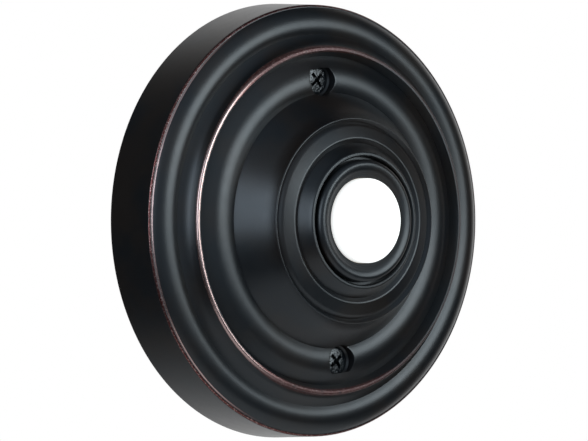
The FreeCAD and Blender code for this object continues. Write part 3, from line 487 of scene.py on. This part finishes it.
def make_piece(name, blocks, body, slot, finishes, stands_for):
    """Join blocks of points and quads into one closed smooth piece, with its faces outwards."""
    points = np.concatenate([block.reshape(-1, 3) for block, _ in blocks]) * MILLIMETRE
    starts = np.cumsum([0] + [block.size // 3 for block, _ in blocks[:-1]])
    quads = np.concatenate([faces.reshape(-1, 4) + start for (_, faces), start in zip(blocks, starts)])
    mesh = bpy.data.meshes.new(name)
    mesh.vertices.add(len(points))
    mesh.vertices.foreach_set("co", points.astype(np.float32).ravel())
    mesh.loops.add(quads.size)
    mesh.loops.foreach_set("vertex_index", quads.astype(np.int32).ravel())
    mesh.polygons.add(len(quads))
    mesh.polygons.foreach_set("loop_start", np.arange(0, quads.size, 4, dtype=np.int32))
    mesh.update(calc_edges=True)
    shell = bmesh.new()
    shell.from_mesh(mesh)
    bmesh.ops.remove_doubles(shell, verts=shell.verts, dist=MERGE_DISTANCE)
    bmesh.ops.dissolve_degenerate(shell, edges=shell.edges, dist=MERGE_DISTANCE / 2)
    bmesh.ops.recalc_face_normals(shell, faces=shell.faces)
    open_edges = [edge for edge in shell.edges if not edge.is_manifold]
    if open_edges:
        raise RuntimeError(f"{name} has {len(open_edges)} open edges")
    shell.to_mesh(mesh)
    shell.free()
    mesh.shade_smooth()
    mesh.set_sharp_from_angle(angle=SHARP_ANGLE)
    mesh.materials.append(finishes[slot])
    piece = bpy.data.objects.new(name, mesh)
    bpy.context.scene.collection.objects.link(piece)
    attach(piece, body)
    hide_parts(stands_for)
    return piece


def full_turn(steps):
    """Angles all round, without the last that would repeat the first."""
    return np.arange(steps) * math.tau / steps


# Rosette
def moulding_points(sizes):
    """Radius and height of each moulding; the widths share the room between collar and rim."""
    room = sum(width for _, width, _ in MOULDINGS)
    spread = (sizes.rim_radius - sizes.collar_radius) / room
    radius, height = sizes.rim_radius, sizes.rim_height
    points = {}
    for name, width, rise in MOULDINGS:
        radius -= width * spread
        height += rise
        points[name] = np.array((radius, height))
    return points


def eased(before, corner, after, reach, through=False):
    """A rounded corner between two straight lines, or after an arc that ends near it."""
    back, ahead = before - corner, after - corner
    start = corner + back * reach / np.hypot(*back)
    end = corner + ahead * reach / np.hypot(*ahead)
    middle = (start + 2 * corner + end) / 4
    return [(*before, *start) if through else tuple(start), (*middle, *end)]


def front_outline(sizes):
    """The rosette's outline from the wall over all its mouldings to the barrel's hole."""
    at = sizes.mouldings
    rim_edge = np.array((sizes.rim_radius - RIM_DRAFT, sizes.rim_height))
    dome_edge, collar = at["dome_top"], at["collar"]
    return [
        (sizes.rim_radius, 0.0),
        tuple(rim_edge - (0.0, EDGE_ROUND)),
        (*(rim_edge - EDGE_ROUND * QUARTER_MIDDLE), *(rim_edge - (EDGE_ROUND, 0.0))),
        *eased(at["band"], at["shoulder"], at["hollow"], SHOULDER_ROUND, through=True),
        tuple(at["hollow"]),
        (*at["step_side"], *at["step"]),
        *eased(at["step"], at["lip"], at["lip_end"], LIP_ROUND),
        tuple(at["lip_end"]),
        (*at["cove_side"], *at["cove"]),
        tuple(at["roll_foot"]),
        (*at["roll"], *at["valley"]),
        (*at["dome_side"], *(dome_edge - (0.0, DOME_ROUND))),
        (*(dome_edge - DOME_ROUND * QUARTER_MIDDLE), *(dome_edge - (DOME_ROUND, 0.0))),
        tuple(at["groove"]),
        *eased(at["groove"], at["bead_outer"], at["bead_inner"], BEAD_ROUND),
        *eased(at["bead_outer"], at["bead_inner"], at["collar_foot"], BEAD_ROUND),
        tuple(at["collar_foot"]),
        *eased(at["collar_foot"], at["collar_side"], collar, BEAD_ROUND),
        *eased(at["collar_side"], collar, collar - (1.0, 0.0), COLLAR_ROUND),
        (sizes.recess_radius + COLLAR_ROUND, collar[1]),
        (sizes.recess_radius, collar[1] - COLLAR_ROUND),
        (sizes.recess_radius, sizes.recess_floor),
        (sizes.barrel_radius + BARREL_GAP, sizes.recess_floor),
        (sizes.barrel_radius + BARREL_GAP, sizes.web_back),
    ]


def ceiling_outline(sizes):
    """The shell's inside, from the edge of the web to the flat behind the front band."""
    at = sizes.mouldings
    return np.array([
        (at["dome_top"][0] - WEB_EDGE, sizes.web_back),
        (at["valley"][0] - DOME_WALL, at["valley"][1] - sizes.shell_wall),
        (at["cove"][0], at["cove"][1] - sizes.shell_wall),
        (at["step"][0] - sizes.shell_wall / 2, at["hollow"][1] - sizes.shell_wall),
        (at["hollow"][0], at["hollow"][1] - sizes.shell_wall),
    ])


def rim_inside(sizes, start):
    """The rest of the inside, from a point behind the front band down the rim to the wall."""
    inner_rim = np.array((sizes.rim_radius - sizes.rim_wall, start[1]))
    return outline([
        tuple(start),
        tuple(inner_rim - (INNER_ROUND, 0.0)),
        (*(inner_rim - INNER_ROUND * QUARTER_MIDDLE), *(inner_rim - (0.0, INNER_ROUND))),
        (inner_rim[0], 0.0),
    ])[1:]


def height_at(profile, radius):
    """Height of a profile at a radius, where it has one height only."""
    order = np.argsort(profile[:, 0])
    return np.interp(radius, profile[order, 0], profile[order, 1])


def window_loop(grid, outer, inner, first, last):
    """The points round a window of the rosette's grid, between two rows and two columns."""
    step = 1 if inner > outer else -1
    rows = np.arange(outer, inner, step)
    return np.concatenate((
        grid[outer, first:last], grid[rows, last],
        grid[inner, last:first:-1], grid[rows[::-1] + step, first]))


def laid_rings(loop, circle, surface, steps, crease=(), crease_radius=0.0):
    """Rings from a window's loop to a circle: straight between them seen from the front, with the
    height of the surface at their distance from the axis. The points of the crease stay on it."""
    rings = [loop]
    for share in np.arange(1, steps) / steps:
        ring = (1 - share) * loop + share * circle
        radius = np.hypot(ring[:, 0], ring[:, 2])
        kept = radius.copy()
        kept[list(crease)] = crease_radius
        ring[:, ::2] *= (kept / radius)[:, None]
        ring[:, 1] = -surface(kept)
        rings.append(ring)
    return rings


def creased_turn(turn, loop, centre, reach, crease_radius):
    """Angles of a window's points round a screw, shifted so that the points of the loop on the
    crease lie on it at a reach from the screw too; and the numbers of those points."""
    crease = np.flatnonzero(np.isclose(np.hypot(loop[:, 0], loop[:, 2]), crease_radius))
    up = (crease_radius ** 2 - centre ** 2 - reach ** 2) / (2 * centre)
    target = np.arctan2(up, np.sign(loop[crease, 0]) * math.sqrt(reach ** 2 - up ** 2))
    shift = np.mod(target - turn[crease] + math.pi, math.tau) - math.pi
    corners = WINDOW_STEPS, int(crease.mean())
    numbers = np.array([corners[0], crease[0], corners[1], crease[1], corners[0] + len(turn)])
    places = np.arange(len(turn))
    places[:corners[0]] += len(turn)
    return turn + np.interp(places, numbers, [0.0, shift[0], 0.0, shift[1], 0.0]), crease


def screw_passage(sizes, side, front_loop, back_loop, front_height, back_height):
    """One screw hole through the rosette: rings that pass from the front's window over the recess,
    the head's cone and the shank's hole round the boss to the window inside."""
    centre = side * sizes.screw_place
    front_turn = np.arctan2(front_loop[:, 2] - centre, front_loop[:, 0])
    back_turn = np.arctan2(back_loop[:, 2] - centre, back_loop[:, 0])

    def ring(angles, radius, surface, drop=0.0):
        across, up = radius * np.cos(angles), centre + radius * np.sin(angles)
        height = surface(np.hypot(across, up)) if callable(surface) else surface
        return np.stack((across, np.broadcast_to(drop - height, across.shape), up), axis=-1)

    recess, ease = sizes.counterbore_radius, 0.08
    slope = HEAD_CONE / (sizes.screw_head_radius - sizes.screw_shank_radius)
    seat_top = sizes.head_edge + (recess - sizes.screw_head_radius) * slope - SEAT_GAP
    hole = sizes.screw_thread_radius + HOLE_GAP
    boss, boss_end, boss_round = sizes.boss_radius, sizes.boss_gap, 0.3
    valley = sizes.mouldings["valley"][0]
    front_turn, crease = creased_turn(front_turn, front_loop, centre, recess + ease, valley)
    mouth = ring(front_turn, recess + ease, front_height)
    foot = ring(back_turn, boss + boss_round, back_height)
    rings = laid_rings(front_loop, mouth, front_height, 10, crease, valley) + [
        mouth,
        ring(front_turn, recess + ease * 0.4, front_height, 0.012),
        ring(front_turn, recess, front_height, 0.045),
        ring(front_turn, recess, seat_top),
        ring(front_turn, hole, seat_top - (recess - hole) * slope),
        ring(front_turn, hole, boss_end + HOLE_GAP),
        ring(front_turn, hole + HOLE_GAP, boss_end),
        ring(back_turn, boss - boss_round, boss_end),
        ring(back_turn, boss - boss_round * QUARTER_MIDDLE, boss_end + boss_round * QUARTER_MIDDLE),
        ring(back_turn, boss, boss_end + boss_round),
        ring(back_turn, boss, back_height, boss_round),
        ring(back_turn, boss + boss_round * QUARTER_MIDDLE, back_height, boss_round * QUARTER_MIDDLE),
        foot] + laid_rings(back_loop, foot, back_height, 5)[::-1]
    grid = np.stack(rings)
    return grid, grid_faces(*grid.shape[:2])


def rosette_blocks(sizes):
    """Cast rosette: its outline turned round, with a window at each screw for the screw's passage."""
    front, fine = outline(front_outline(sizes)), outline(front_outline(sizes), FINE_ARC_STEP)
    window_out, window_in = sizes.screw_place + WINDOW_REACH[0], sizes.screw_place - WINDOW_REACH[1]
    rows = np.flatnonzero((front[:, 0] < window_out) & (front[:, 0] > window_in))
    outer, inner = rows[0], rows[-1]
    fine = fine[(fine[:, 0] < window_out + LIP_ROUND) & (fine[:, 0] > window_in - LIP_ROUND)]
    ceiling = ceiling_outline(sizes)
    under_radii = np.linspace(
        sizes.screw_place - UNDER_REACH, sizes.screw_place + UNDER_REACH, inner - outer + 1)
    under = np.stack((under_radii, height_at(ceiling, under_radii)), axis=1)
    under_inner = len(front) + 1
    under_outer = under_inner + inner - outer
    profile = np.concatenate((front, ceiling[:1], under, rim_inside(sizes, under[-1])))
    grid = turned(profile, full_turn(TURN_STEPS))
    faces = grid_faces(*grid.shape[:2], closed_rows=True)
    keep = np.ones(faces.shape[:2], bool)
    passages = []
    for side, middle in ((1, TURN_STEPS // 4), (-1, 3 * TURN_STEPS // 4)):
        first, last = middle - WINDOW_STEPS, middle + WINDOW_STEPS
        keep[outer:inner, first:last] = False
        keep[under_inner:under_outer, first:last] = False
        passages.append(screw_passage(
            sizes, side,
            window_loop(grid, outer, inner, first, last),
            window_loop(grid, under_outer, under_inner, first, last),
            lambda radius: height_at(fine, radius), lambda radius: height_at(under, radius)))
    return [(grid, faces[keep]), *passages]


# Mounting screws
def cross_points(sizes):
    """The cross recess seen from the front: the angle and distance of points round its outline."""
    arm, half = sizes.cross_length / 2, sizes.cross_width / 2
    arm_turn = math.atan2(half, arm)
    end = np.linspace(-arm_turn, arm_turn, 5)
    side = np.linspace(arm_turn, math.radians(45), 5)[1:]
    other = np.linspace(math.radians(45), math.radians(90) - arm_turn, 5)[1:-1]
    turns = np.concatenate((end, side, other))
    reach = np.concatenate((arm / np.cos(end), half / np.sin(side), half / np.cos(other)))
    angles = (turns + np.arange(4)[:, None] * math.radians(90)).ravel()
    return angles, np.tile(reach, 4)


def thread_wave(height, angles, pitch):
    """Depth of a helical thread from 0 at its crest to 1 at its root, at a height and angle."""
    phase = np.mod(height / pitch - angles / math.tau, 1.0)
    return np.clip(1.25 - 2.5 * np.abs(phase - 0.5), 0.0, 1.0)


def screw_blocks(sizes, side):
    """Mounting screw: rings of radius and height from the cross recess over the head, down the
    plain shank, along the helical thread and to the point."""
    angles, reach = cross_points(sizes)
    angles = angles + CROSS_TURN
    centre = side * sizes.screw_place
    dome_top = sizes.head_front + HEAD_DOME
    head, shank, thread = sizes.screw_head_radius, sizes.screw_shank_radius, sizes.screw_thread_radius

    def dome(radius):
        return sizes.head_front + HEAD_DOME * (1 - (radius / head) ** 2)

    floor = dome_top - sizes.cross_depth
    rings = [
        (0 * reach, floor), (0.5 * CROSS_TAPER * reach, floor + 0.02), (CROSS_TAPER * reach, floor + 0.12)]
    rings += [(reach * (1 - 0.03 * step), dome(reach) - 0.05 * step) for step in (1, 0)]
    for share in np.linspace(0.2, 1.0, 5):
        radius = reach + (head - 0.06 - reach) * share
        rings.append((radius, dome(radius)))
    tip = dome_top - sizes.screw_length
    rings += [
        (head, sizes.head_front - 0.04), (head, sizes.head_edge), (shank, sizes.head_edge - HEAD_CONE),
        (shank, THREAD_FRONT + 0.25)]
    steps = int((THREAD_FRONT - tip - 0.02) / SCREW_PITCH * 9)
    for height in np.linspace(THREAD_FRONT, tip + 0.02, steps):
        narrow = np.clip((height - tip) / SCREW_POINT, 0.0, 1.0)
        depth = SCREW_THREAD_DEPTH * thread_wave(height, angles, SCREW_PITCH)
        rings.append(((thread - depth) * narrow, height))
    rings.append((0 * reach, tip))
    grid = np.stack([
        np.stack((radius * np.cos(angles), np.broadcast_to(-np.asarray(height), angles.shape),
                  centre + radius * np.sin(angles)), axis=-1)
        for radius, height in ((np.broadcast_to(radius, angles.shape), height) for radius, height in rings)])
    return [(grid, grid_faces(*grid.shape[:2]))]


# Button unit
def barrel_blocks(sizes):
    """Barrel and bezel: a closed outline turned round, with a helical thread cut into its outside."""
    bezel_middle = sizes.bezel_radius - BEZEL_ROLL
    bezel_top = sizes.recess_floor + BEZEL_SIDE + BEZEL_ROLL
    slope_foot = bezel_top - BEZEL_SLOPE_DROP
    bore = sizes.button_radius + sizes.button_gap
    mouth = bezel_top - BEZEL_MOUTH_DROP
    stop = sizes.recess_floor - STOP_DEPTH
    chamber = sizes.button_radius + FLANGE[0] + sizes.button_gap
    base_front = sizes.recess_floor - BASE_DEPTH
    base_back = base_front - BASE_THICKNESS
    shift = BEZEL_ROLL * QUARTER_MIDDLE
    end = sizes.recess_floor - sizes.barrel_length
    ease = 0.25
    shape = outline([
        (sizes.bezel_radius, sizes.recess_floor),
        (sizes.bezel_radius, sizes.recess_floor + BEZEL_SIDE),
        (sizes.bezel_radius - shift, bezel_top - shift, bezel_middle, bezel_top),
        ((bezel_middle + BEZEL_SLOPE_RADIUS) / 2, bezel_top - BEZEL_SLOPE_DROP * 0.25,
         BEZEL_SLOPE_RADIUS, slope_foot),
        (bore + (BEZEL_SLOPE_RADIUS - bore) * QUARTER_MIDDLE,
         slope_foot - (BEZEL_MOUTH_DROP - BEZEL_SLOPE_DROP) * QUARTER_MIDDLE, bore, mouth),
        (bore, stop), (chamber, stop), (chamber, base_front), (BASE_BORE, base_front),
        (BASE_BORE, base_back), (BASE_BORE + RING_GROOVE[0], base_back),
        (BASE_BORE + RING_GROOVE[0], base_back - RING_GROOVE[1]),
        (BASE_BORE, base_back - RING_GROOVE[1]), (BASE_BORE, end), (sizes.barrel_radius - ease, end),
    ])
    angles = full_turn(TURN_STEPS // 3)
    heights = np.linspace(end + ease, sizes.recess_floor, 120)[:, None]
    fade = np.clip((sizes.recess_floor - heights) / BARREL_PITCH - 1, 0.0, 1.0)
    radius = sizes.barrel_radius - BARREL_THREAD_DEPTH * fade * thread_wave(heights, angles, BARREL_PITCH)
    radius = np.minimum(radius, sizes.barrel_radius - ease + heights - end)
    front = np.broadcast_to(-heights, radius.shape)
    thread = np.stack((radius * np.cos(angles), front, radius * np.sin(angles)), axis=-1)
    grid = np.concatenate((turned(shape, angles), thread))
    return [(grid, grid_faces(*grid.shape[:2], closed_rows=True))]


def button_blocks(sizes):
    """White button: a hollow cap with a low dome and a flange, its outline turned round."""
    edge = sizes.button_height - BUTTON_DOME
    inside = sizes.button_radius - sizes.button_wall
    stop = sizes.recess_floor - STOP_DEPTH
    flange = sizes.button_radius + FLANGE[0]
    shift = BUTTON_ROUND * QUARTER_MIDDLE
    radius = sizes.button_radius
    shape = outline([
        (0.0, sizes.button_height - BUTTON_ROOF),
        (inside - 0.4, sizes.button_height - BUTTON_ROOF - BUTTON_DOME / 2),
        (inside - 0.4 * QUARTER_MIDDLE, sizes.button_height - BUTTON_ROOF - BUTTON_DOME / 2 - 0.12,
         inside, sizes.button_height - BUTTON_ROOF - BUTTON_DOME / 2 - 0.4),
        (inside, stop - FLANGE[1]), (flange, stop - FLANGE[1]), (flange, stop), (radius, stop),
        (radius, edge - BUTTON_ROUND),
        (radius - shift, edge - shift, radius - BUTTON_ROUND, edge),
        ((radius - BUTTON_ROUND) / 2, edge + BUTTON_DOME * 0.75, 0.0, sizes.button_height),
    ])
    grid = turned(shape, full_turn(TURN_STEPS // 3))
    return [(grid, grid_faces(*grid.shape[:2]))]


def spring_blocks(sizes):
    """Return spring: a round section carried along a helix about the Y axis, closed at both ends."""
    half = sizes.spring_wire / 2
    low = sizes.recess_floor - BASE_DEPTH + SPRING_GAP + half
    high = sizes.recess_floor - STOP_DEPTH - FLANGE[1] - BRIDGE_THICKNESS - SPRING_GAP - half
    along = np.linspace(0.0, 1.0, int(SPRING_TURNS * 64))
    along = np.concatenate(([0.0], along, [1.0]))[:, None]
    thick = np.full_like(along, half)
    thick[[0, -1]] = 0.0
    angles = -math.tau * SPRING_TURNS * along
    around = full_turn(14)
    radius = sizes.spring_radius + thick * np.cos(around)
    height = high + (low - high) * along + thick * np.sin(around)
    grid = np.stack((radius * np.cos(angles), -height, radius * np.sin(angles)), axis=-1)
    return [(grid, grid_faces(*grid.shape[:2]))]


# Sizes and colours
def length(name, value, description):
    """A length property in metres, from a value in millimetres."""
    return FloatProperty(
        name=name, description=description, default=value * MILLIMETRE, unit="LENGTH", precision=5)


def colour(name, value, description):
    """A colour property in linear red, green and blue."""
    return FloatVectorProperty(
        name=name, description=description, default=value, subtype="COLOR", size=3, min=0.0, max=1.0)


def frame_edge(node, corner, axis):
    """One coordinate of a node's box in the frame, in millimetres."""
    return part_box(node)[corner][axis] / MILLIMETRE


class DoorbellSizes(bpy.types.PropertyGroup):
    """Sizes that a user would change."""

    rim_radius: length("Rim radius", 31.75, "Outer radius of the rosette at the wall")
    rim_height: length("Rim height", 8.4, "Height of the rim's front edge")
    rim_wall: length("Rim wall", 2.35, "Thickness of the rim")
    shell_wall: length("Shell wall", 2.1, "Thickness of the shell behind its mouldings")
    web_wall: length("Web wall", 3.2, "Thickness of the web that carries the button unit")
    collar_radius: length("Collar radius", 9.95, "Outer radius of the collar round the bezel")
    recess_depth: length("Recess depth", 1.15, "Depth of the recess that holds the bezel")
    recess_gap: length("Recess gap", 0.42, "Dark gap round the bezel")
    boss_radius: length("Boss radius", 3.5, "Outer radius of each screw boss")
    boss_gap: length("Boss gap", 0.5, "Gap between a screw boss and the wall")
    counterbore_radius: length("Screw recess", 2.38, "Radius of the recess round a screw head")
    screw_place: length(
        "Screw place", (frame_edge("mounting_screw_top", 0, 2) + frame_edge("mounting_screw_top", 1, 2)) / 2,
        "Distance of each mounting screw from the rosette's axis")
    screw_head_radius: length("Screw head", 2.05, "Radius of a mounting screw's head")
    screw_shank_radius: length("Screw shank", 0.95, "Radius of a mounting screw's plain shank")
    screw_thread_radius: length("Screw thread", 1.1, "Outer radius of a mounting screw's thread")
    screw_length: length("Screw length", 25.4, "Length of a mounting screw")
    cross_length: length("Cross length", 2.5, "Length of each cross slot in a screw head")
    cross_width: length("Cross width", 0.55, "Width of each cross slot in a screw head")
    cross_depth: length("Cross depth", 0.9, "Depth of the cross slots in a screw head")
    barrel_radius: length("Barrel radius", 7.9, "Outer radius of the barrel, over its thread")
    barrel_length: length("Barrel length", 13.0, "Length of the barrel behind its bezel")
    button_radius: length("Button radius", 6.17, "Radius of the white button")
    button_gap: length("Button gap", 0.08, "Running gap round the button")
    button_wall: length("Button wall", 1.27, "Thickness of the button's side")
    button_height: length(
        "Button height", -frame_edge("push_button", 0, 1), "Height of the button's front")
    head_height: length(
        "Screw head height", -frame_edge("mounting_screw_top", 0, 1), "Height of the screw heads' front")
    spring_radius: length("Spring radius", 4.1, "Mean radius of the return spring")
    spring_wire: length("Spring wire", 0.45, "Wire thickness of the return spring")
    resistor_foot: length("Resistor foot", 10.65, "Height of the resistor's lower end")


class DoorbellColours(bpy.types.PropertyGroup):
    """Colours that a user would change."""

    bronze: colour("Bronze", (0.0022, 0.0036, 0.0052), "Cool black of the bronze coat")
    bronze_warm: colour("Warm bronze", (0.0075, 0.0052, 0.0042), "Brown shade of the bronze coat")
    copper: colour("Copper", (0.13, 0.045, 0.04), "Rubbed copper of the proud edges")
    # Painted highlight: the pale copper painted as glints on the rubbed edges
    copper_glint: colour("Pale copper", (0.5, 0.34, 0.31), "Brightest rubbed specks")
    button: colour("Button", (0.88, 0.88, 0.86), "White of the button's face")
    button_side: colour("Button side", (0.74, 0.62, 0.42), "Cream of the button's side")
    screw: colour("Screw", (0.007, 0.007, 0.008), "Black of the mounting screws")
    steel: colour("Steel", (0.62, 0.62, 0.6), "Plated steel")
    steel_dull: colour("Dull steel", (0.42, 0.42, 0.41), "Darker patches of plated steel")
    brass: colour("Brass", (0.72, 0.5, 0.2), "Brass of the contacts and terminals")
    brass_dull: colour("Dull brass", (0.5, 0.33, 0.12), "Tarnish on the brass")
    base: colour("Base", (0.02, 0.019, 0.018), "Dark moulded switch base")
    board: colour("Board", (0.02, 0.13, 0.05), "Green lamp board")
    board_dark: colour("Board edge", (0.012, 0.08, 0.03), "Darker weave of the lamp board")
    lamp: colour("Lamp", (0.9, 0.9, 0.86), "Clear resin of the lamp")
    resistor: colour("Resistor", (0.62, 0.5, 0.32), "Resistor body")
    band: colour("Resistor band", (0.5, 0.02, 0.015), "Red band on the resistor")


def read_sizes(scene):
    """The size properties in millimetres, with the sizes that follow from them."""
    group = scene.doorbell_sizes
    sizes = SimpleNamespace(**{
        name: getattr(group, name) / MILLIMETRE for name in DoorbellSizes.__annotations__})
    sizes.mouldings = moulding_points(sizes)
    sizes.lip_height = sizes.mouldings["lip"][1]
    sizes.lip_radius = sizes.mouldings["lip"][0] - LIP_ROUND
    sizes.recess_floor = sizes.mouldings["collar"][1] - sizes.recess_depth
    sizes.recess_radius = sizes.collar_radius - COLLAR_LIP
    sizes.bezel_radius = sizes.recess_radius - sizes.recess_gap
    sizes.web_back = sizes.recess_floor - sizes.web_wall
    sizes.head_front = sizes.head_height - HEAD_DOME
    sizes.head_edge = sizes.head_front - HEAD_RIM
    return sizes


def read_colours(scene):
    """The colour properties as plain triples."""
    group = scene.doorbell_colours
    return SimpleNamespace(**{name: tuple(getattr(group, name)) for name in DoorbellColours.__annotations__})


def finishes_of(scene):
    """The finishes, made once and found by name after that."""
    names = [item["slot"] for item in frame["record"]["materials"]]
    if FINISH_PREFIX + names[0] not in bpy.data.materials:
        all_finishes(read_sizes(scene), read_colours(scene))
    return {name: bpy.data.materials[FINISH_PREFIX + name] for name in names}


# Operators
class DOORBELL_OT_rosette(bpy.types.Operator):
    """Add the cast rosette with its mouldings and screw holes"""

    bl_idname = "doorbell.rosette"
    bl_label = "Rosette"

    def execute(self, context):
        finishes = finishes_of(context.scene)
        blocks = rosette_blocks(read_sizes(context.scene))
        make_piece("rosette_casting", blocks, "rosette", "bronze_finish", finishes, "escutcheon")
        return {"FINISHED"}


class DOORBELL_OT_screws(bpy.types.Operator):
    """Add both mounting screws with cross slots and thread"""

    bl_idname = "doorbell.screws"
    bl_label = "Mounting screws"

    def execute(self, context):
        finishes, sizes = finishes_of(context.scene), read_sizes(context.scene)
        for word, side in (("top", 1), ("bottom", -1)):
            make_piece(f"screw_{word}", screw_blocks(sizes, side), "rosette", "screw_black",
                       finishes, f"mounting_screw_{word}")
        return {"FINISHED"}


class DOORBELL_OT_barrel(bpy.types.Operator):
    """Add the barrel with its rolled bezel and thread"""

    bl_idname = "doorbell.barrel"
    bl_label = "Barrel and bezel"

    def execute(self, context):
        finishes = finishes_of(context.scene)
        blocks = barrel_blocks(read_sizes(context.scene))
        make_piece("barrel_and_bezel", blocks, "rosette", "bronze_finish", finishes, "button_barrel")
        return {"FINISHED"}


class DOORBELL_OT_button(bpy.types.Operator):
    """Add the white push button"""

    bl_idname = "doorbell.button"
    bl_label = "Button"

    def execute(self, context):
        finishes = finishes_of(context.scene)
        blocks = button_blocks(read_sizes(context.scene))
        make_piece("white_button", blocks, "button", "button_white", finishes, "push_button")
        return {"FINISHED"}


class DOORBELL_OT_spring(bpy.types.Operator):
    """Add the return spring, which on the real switch shortens as the button goes in"""

    bl_idname = "doorbell.spring"
    bl_label = "Return spring"

    def execute(self, context):
        finishes, sizes = finishes_of(context.scene), read_sizes(context.scene)
        spring = make_piece("coil_spring", spring_blocks(sizes), "rosette", "spring_steel",
                            finishes, "return_spring")
        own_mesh(spring)
        return {"FINISHED"}


class DOORBELL_OT_fittings(bpy.types.Operator):
    """Finish the nut, washers, contacts, terminals, base and lamp pieces"""

    bl_idname = "doorbell.fittings"
    bl_label = "Switch fittings"

    def execute(self, context):
        finishes = finishes_of(context.scene)
        for item in frame["record"]["subparts"]:
            node = frame["nodes"][item["node"]]
            if not node.hide_render:
                node.data.materials.clear()
                node.data.materials.append(finishes[item["material_slot"]])
        return {"FINISHED"}


class DOORBELL_OT_stage(bpy.types.Operator):
    """Add the floor, the studio light, the white surroundings and the camera"""

    bl_idname = "doorbell.stage"
    bl_label = "Stage, light and camera"

    def execute(self, context):
        add_floor()
        add_softbox("key_light", KEY_DIRECTION, KEY_DISTANCE, KEY_SIZE, KEY_RADIANCE, KEY_COLOUR)
        add_softbox("side_light", SIDE_DIRECTION, SIDE_DISTANCE, SIDE_SIZE, SIDE_RADIANCE, SIDE_COLOUR)
        light_world(context.scene)
        add_camera(context.scene)
        context.scene.view_settings.view_transform = "Standard"
        return {"FINISHED"}


# Stage
def add_floor():
    """Pale matt floor, well below the object, which hangs on a wall."""
    half = FLOOR_SIZE / 2
    mesh = bpy.data.meshes.new("floor")
    corners = [(-half, -half), (half, -half), (half, half), (-half, half)]
    mesh.from_pydata([(across, along, -FLOOR_DEPTH) for across, along in corners], [], [(0, 1, 2, 3)])
    material, finish = new_finish("floor_paper")
    mottle = finish.grain(finish.place()[0], 0.02, 2.0)
    finish.surface({"Base Color": finish.mix(mottle, (0.8, 0.8, 0.8), (0.83, 0.83, 0.82)), "Roughness": 0.9})
    mesh.materials.append(material)
    floor = bpy.data.objects.new("floor", mesh)
    bpy.context.scene.collection.objects.link(floor)


def add_softbox(name, direction, distance, size, radiance, tint):
    """Rectangular lamp of an even radiance that faces the object."""
    lamp = bpy.data.lights.new(name, "AREA")
    lamp.shape = "RECTANGLE"
    lamp.size, lamp.size_y = size
    lamp.energy = radiance * math.pi * size[0] * size[1]
    lamp.color = tint
    holder = bpy.data.objects.new(name, lamp)
    towards = Vector(direction).normalized()
    turned_round = towards.to_track_quat("Z", "Y").to_matrix().to_4x4()
    holder.matrix_world = Matrix.Translation(towards * distance) @ turned_round
    holder.visible_camera = False
    bpy.context.scene.collection.objects.link(holder)


def light_world(scene):
    """White surroundings for the camera, an even level for matt surfaces, and for glossy ones a dark
    studio with a soft glow in front and the white background behind the object."""
    world = bpy.data.worlds.new("studio")
    scene.world = world
    world.use_nodes = True
    finish = Finish(world.node_tree)
    direction = finish.node("ShaderNodeTexCoord", output="Generated")
    glow, backdrop = (
        finish.node("ShaderNodeVectorMath", {"operation": "DOT_PRODUCT"}, {
            0: direction, 1: tuple(Vector(middle).normalized())}, output="Value").rise(*edge)
        for middle, edge in ((GLOW_DIRECTION, GLOW_EDGE), (BACKDROP_DIRECTION, BACKDROP_EDGE)))
    seen, glossy, through = (
        finish.node("ShaderNodeLightPath", output=f"Is {kind} Ray")
        for kind in ("Camera", "Glossy", "Transmission"))
    white = seen.larger(through).larger(glossy * backdrop)
    level = finish.mix(glossy, MATT_LEVEL, finish.mix(glow, GLOW_DARK, GLOW_LIGHT))
    shade = finish.node("ShaderNodeBackground", None, {"Color": finish.mix(white, level, (1.0, 1.0, 1.0))})
    finish.node("ShaderNodeOutputWorld", None, {"Surface": shade})


def add_camera(scene):
    """Long lens at the photograph's angle, turned so that its upright matches."""
    back = Vector(CAMERA_DIRECTION).normalized()
    right = Vector(CAMERA_UP).cross(back).normalized()
    up = back.cross(right)
    data = bpy.data.cameras.new("camera")
    data.lens = CAMERA_LENS
    data.sensor_width = 36.0
    data.clip_start = 0.01
    camera = bpy.data.objects.new("camera", data)
    camera.matrix_world = Matrix.Translation(Vector(CAMERA_AIM) + back * CAMERA_DISTANCE) @ Matrix(
        (right, up, back)).transposed().to_4x4()
    scene.collection.objects.link(camera)
    scene.camera = camera


class DOORBELL_PT_pieces(bpy.types.Panel):
    """Lists the pieces with their sizes and colours"""

    bl_idname = "DOORBELL_PT_pieces"
    bl_label = "Doorbell push button"
    bl_space_type = "VIEW_3D"
    bl_region_type = "UI"
    bl_category = "Doorbell"

    def draw(self, context):
        for operator in OPERATORS:
            self.layout.operator(operator.bl_idname)
        scene = context.scene
        for title, group in (("Sizes", scene.doorbell_sizes), ("Colours", scene.doorbell_colours)):
            box = self.layout.box()
            box.label(text=title)
            for name in type(group).__annotations__:
                box.prop(group, name)


OPERATORS = (
    DOORBELL_OT_rosette, DOORBELL_OT_screws, DOORBELL_OT_barrel, DOORBELL_OT_button,
    DOORBELL_OT_spring, DOORBELL_OT_fittings, DOORBELL_OT_stage)
CLASSES = (DoorbellSizes, DoorbellColours, *OPERATORS, DOORBELL_PT_pieces)


def register():
    """Add the property groups, operators and panel."""
    for item in CLASSES:
        bpy.utils.register_class(item)
    bpy.types.Scene.doorbell_sizes = PointerProperty(type=DoorbellSizes)
    bpy.types.Scene.doorbell_colours = PointerProperty(type=DoorbellColours)


def unregister():
    """Remove them again."""
    del bpy.types.Scene.doorbell_colours
    del bpy.types.Scene.doorbell_sizes
    for item in reversed(CLASSES):
        bpy.utils.unregister_class(item)


def main():
    """Build every piece and the stage."""
    register()
    bpy.ops.doorbell.rosette()
    bpy.ops.doorbell.screws()
    bpy.ops.doorbell.barrel()
    bpy.ops.doorbell.button()
    bpy.ops.doorbell.spring()
    bpy.ops.doorbell.fittings()
    bpy.ops.doorbell.stage()


if __name__ == "__main__":
    main()
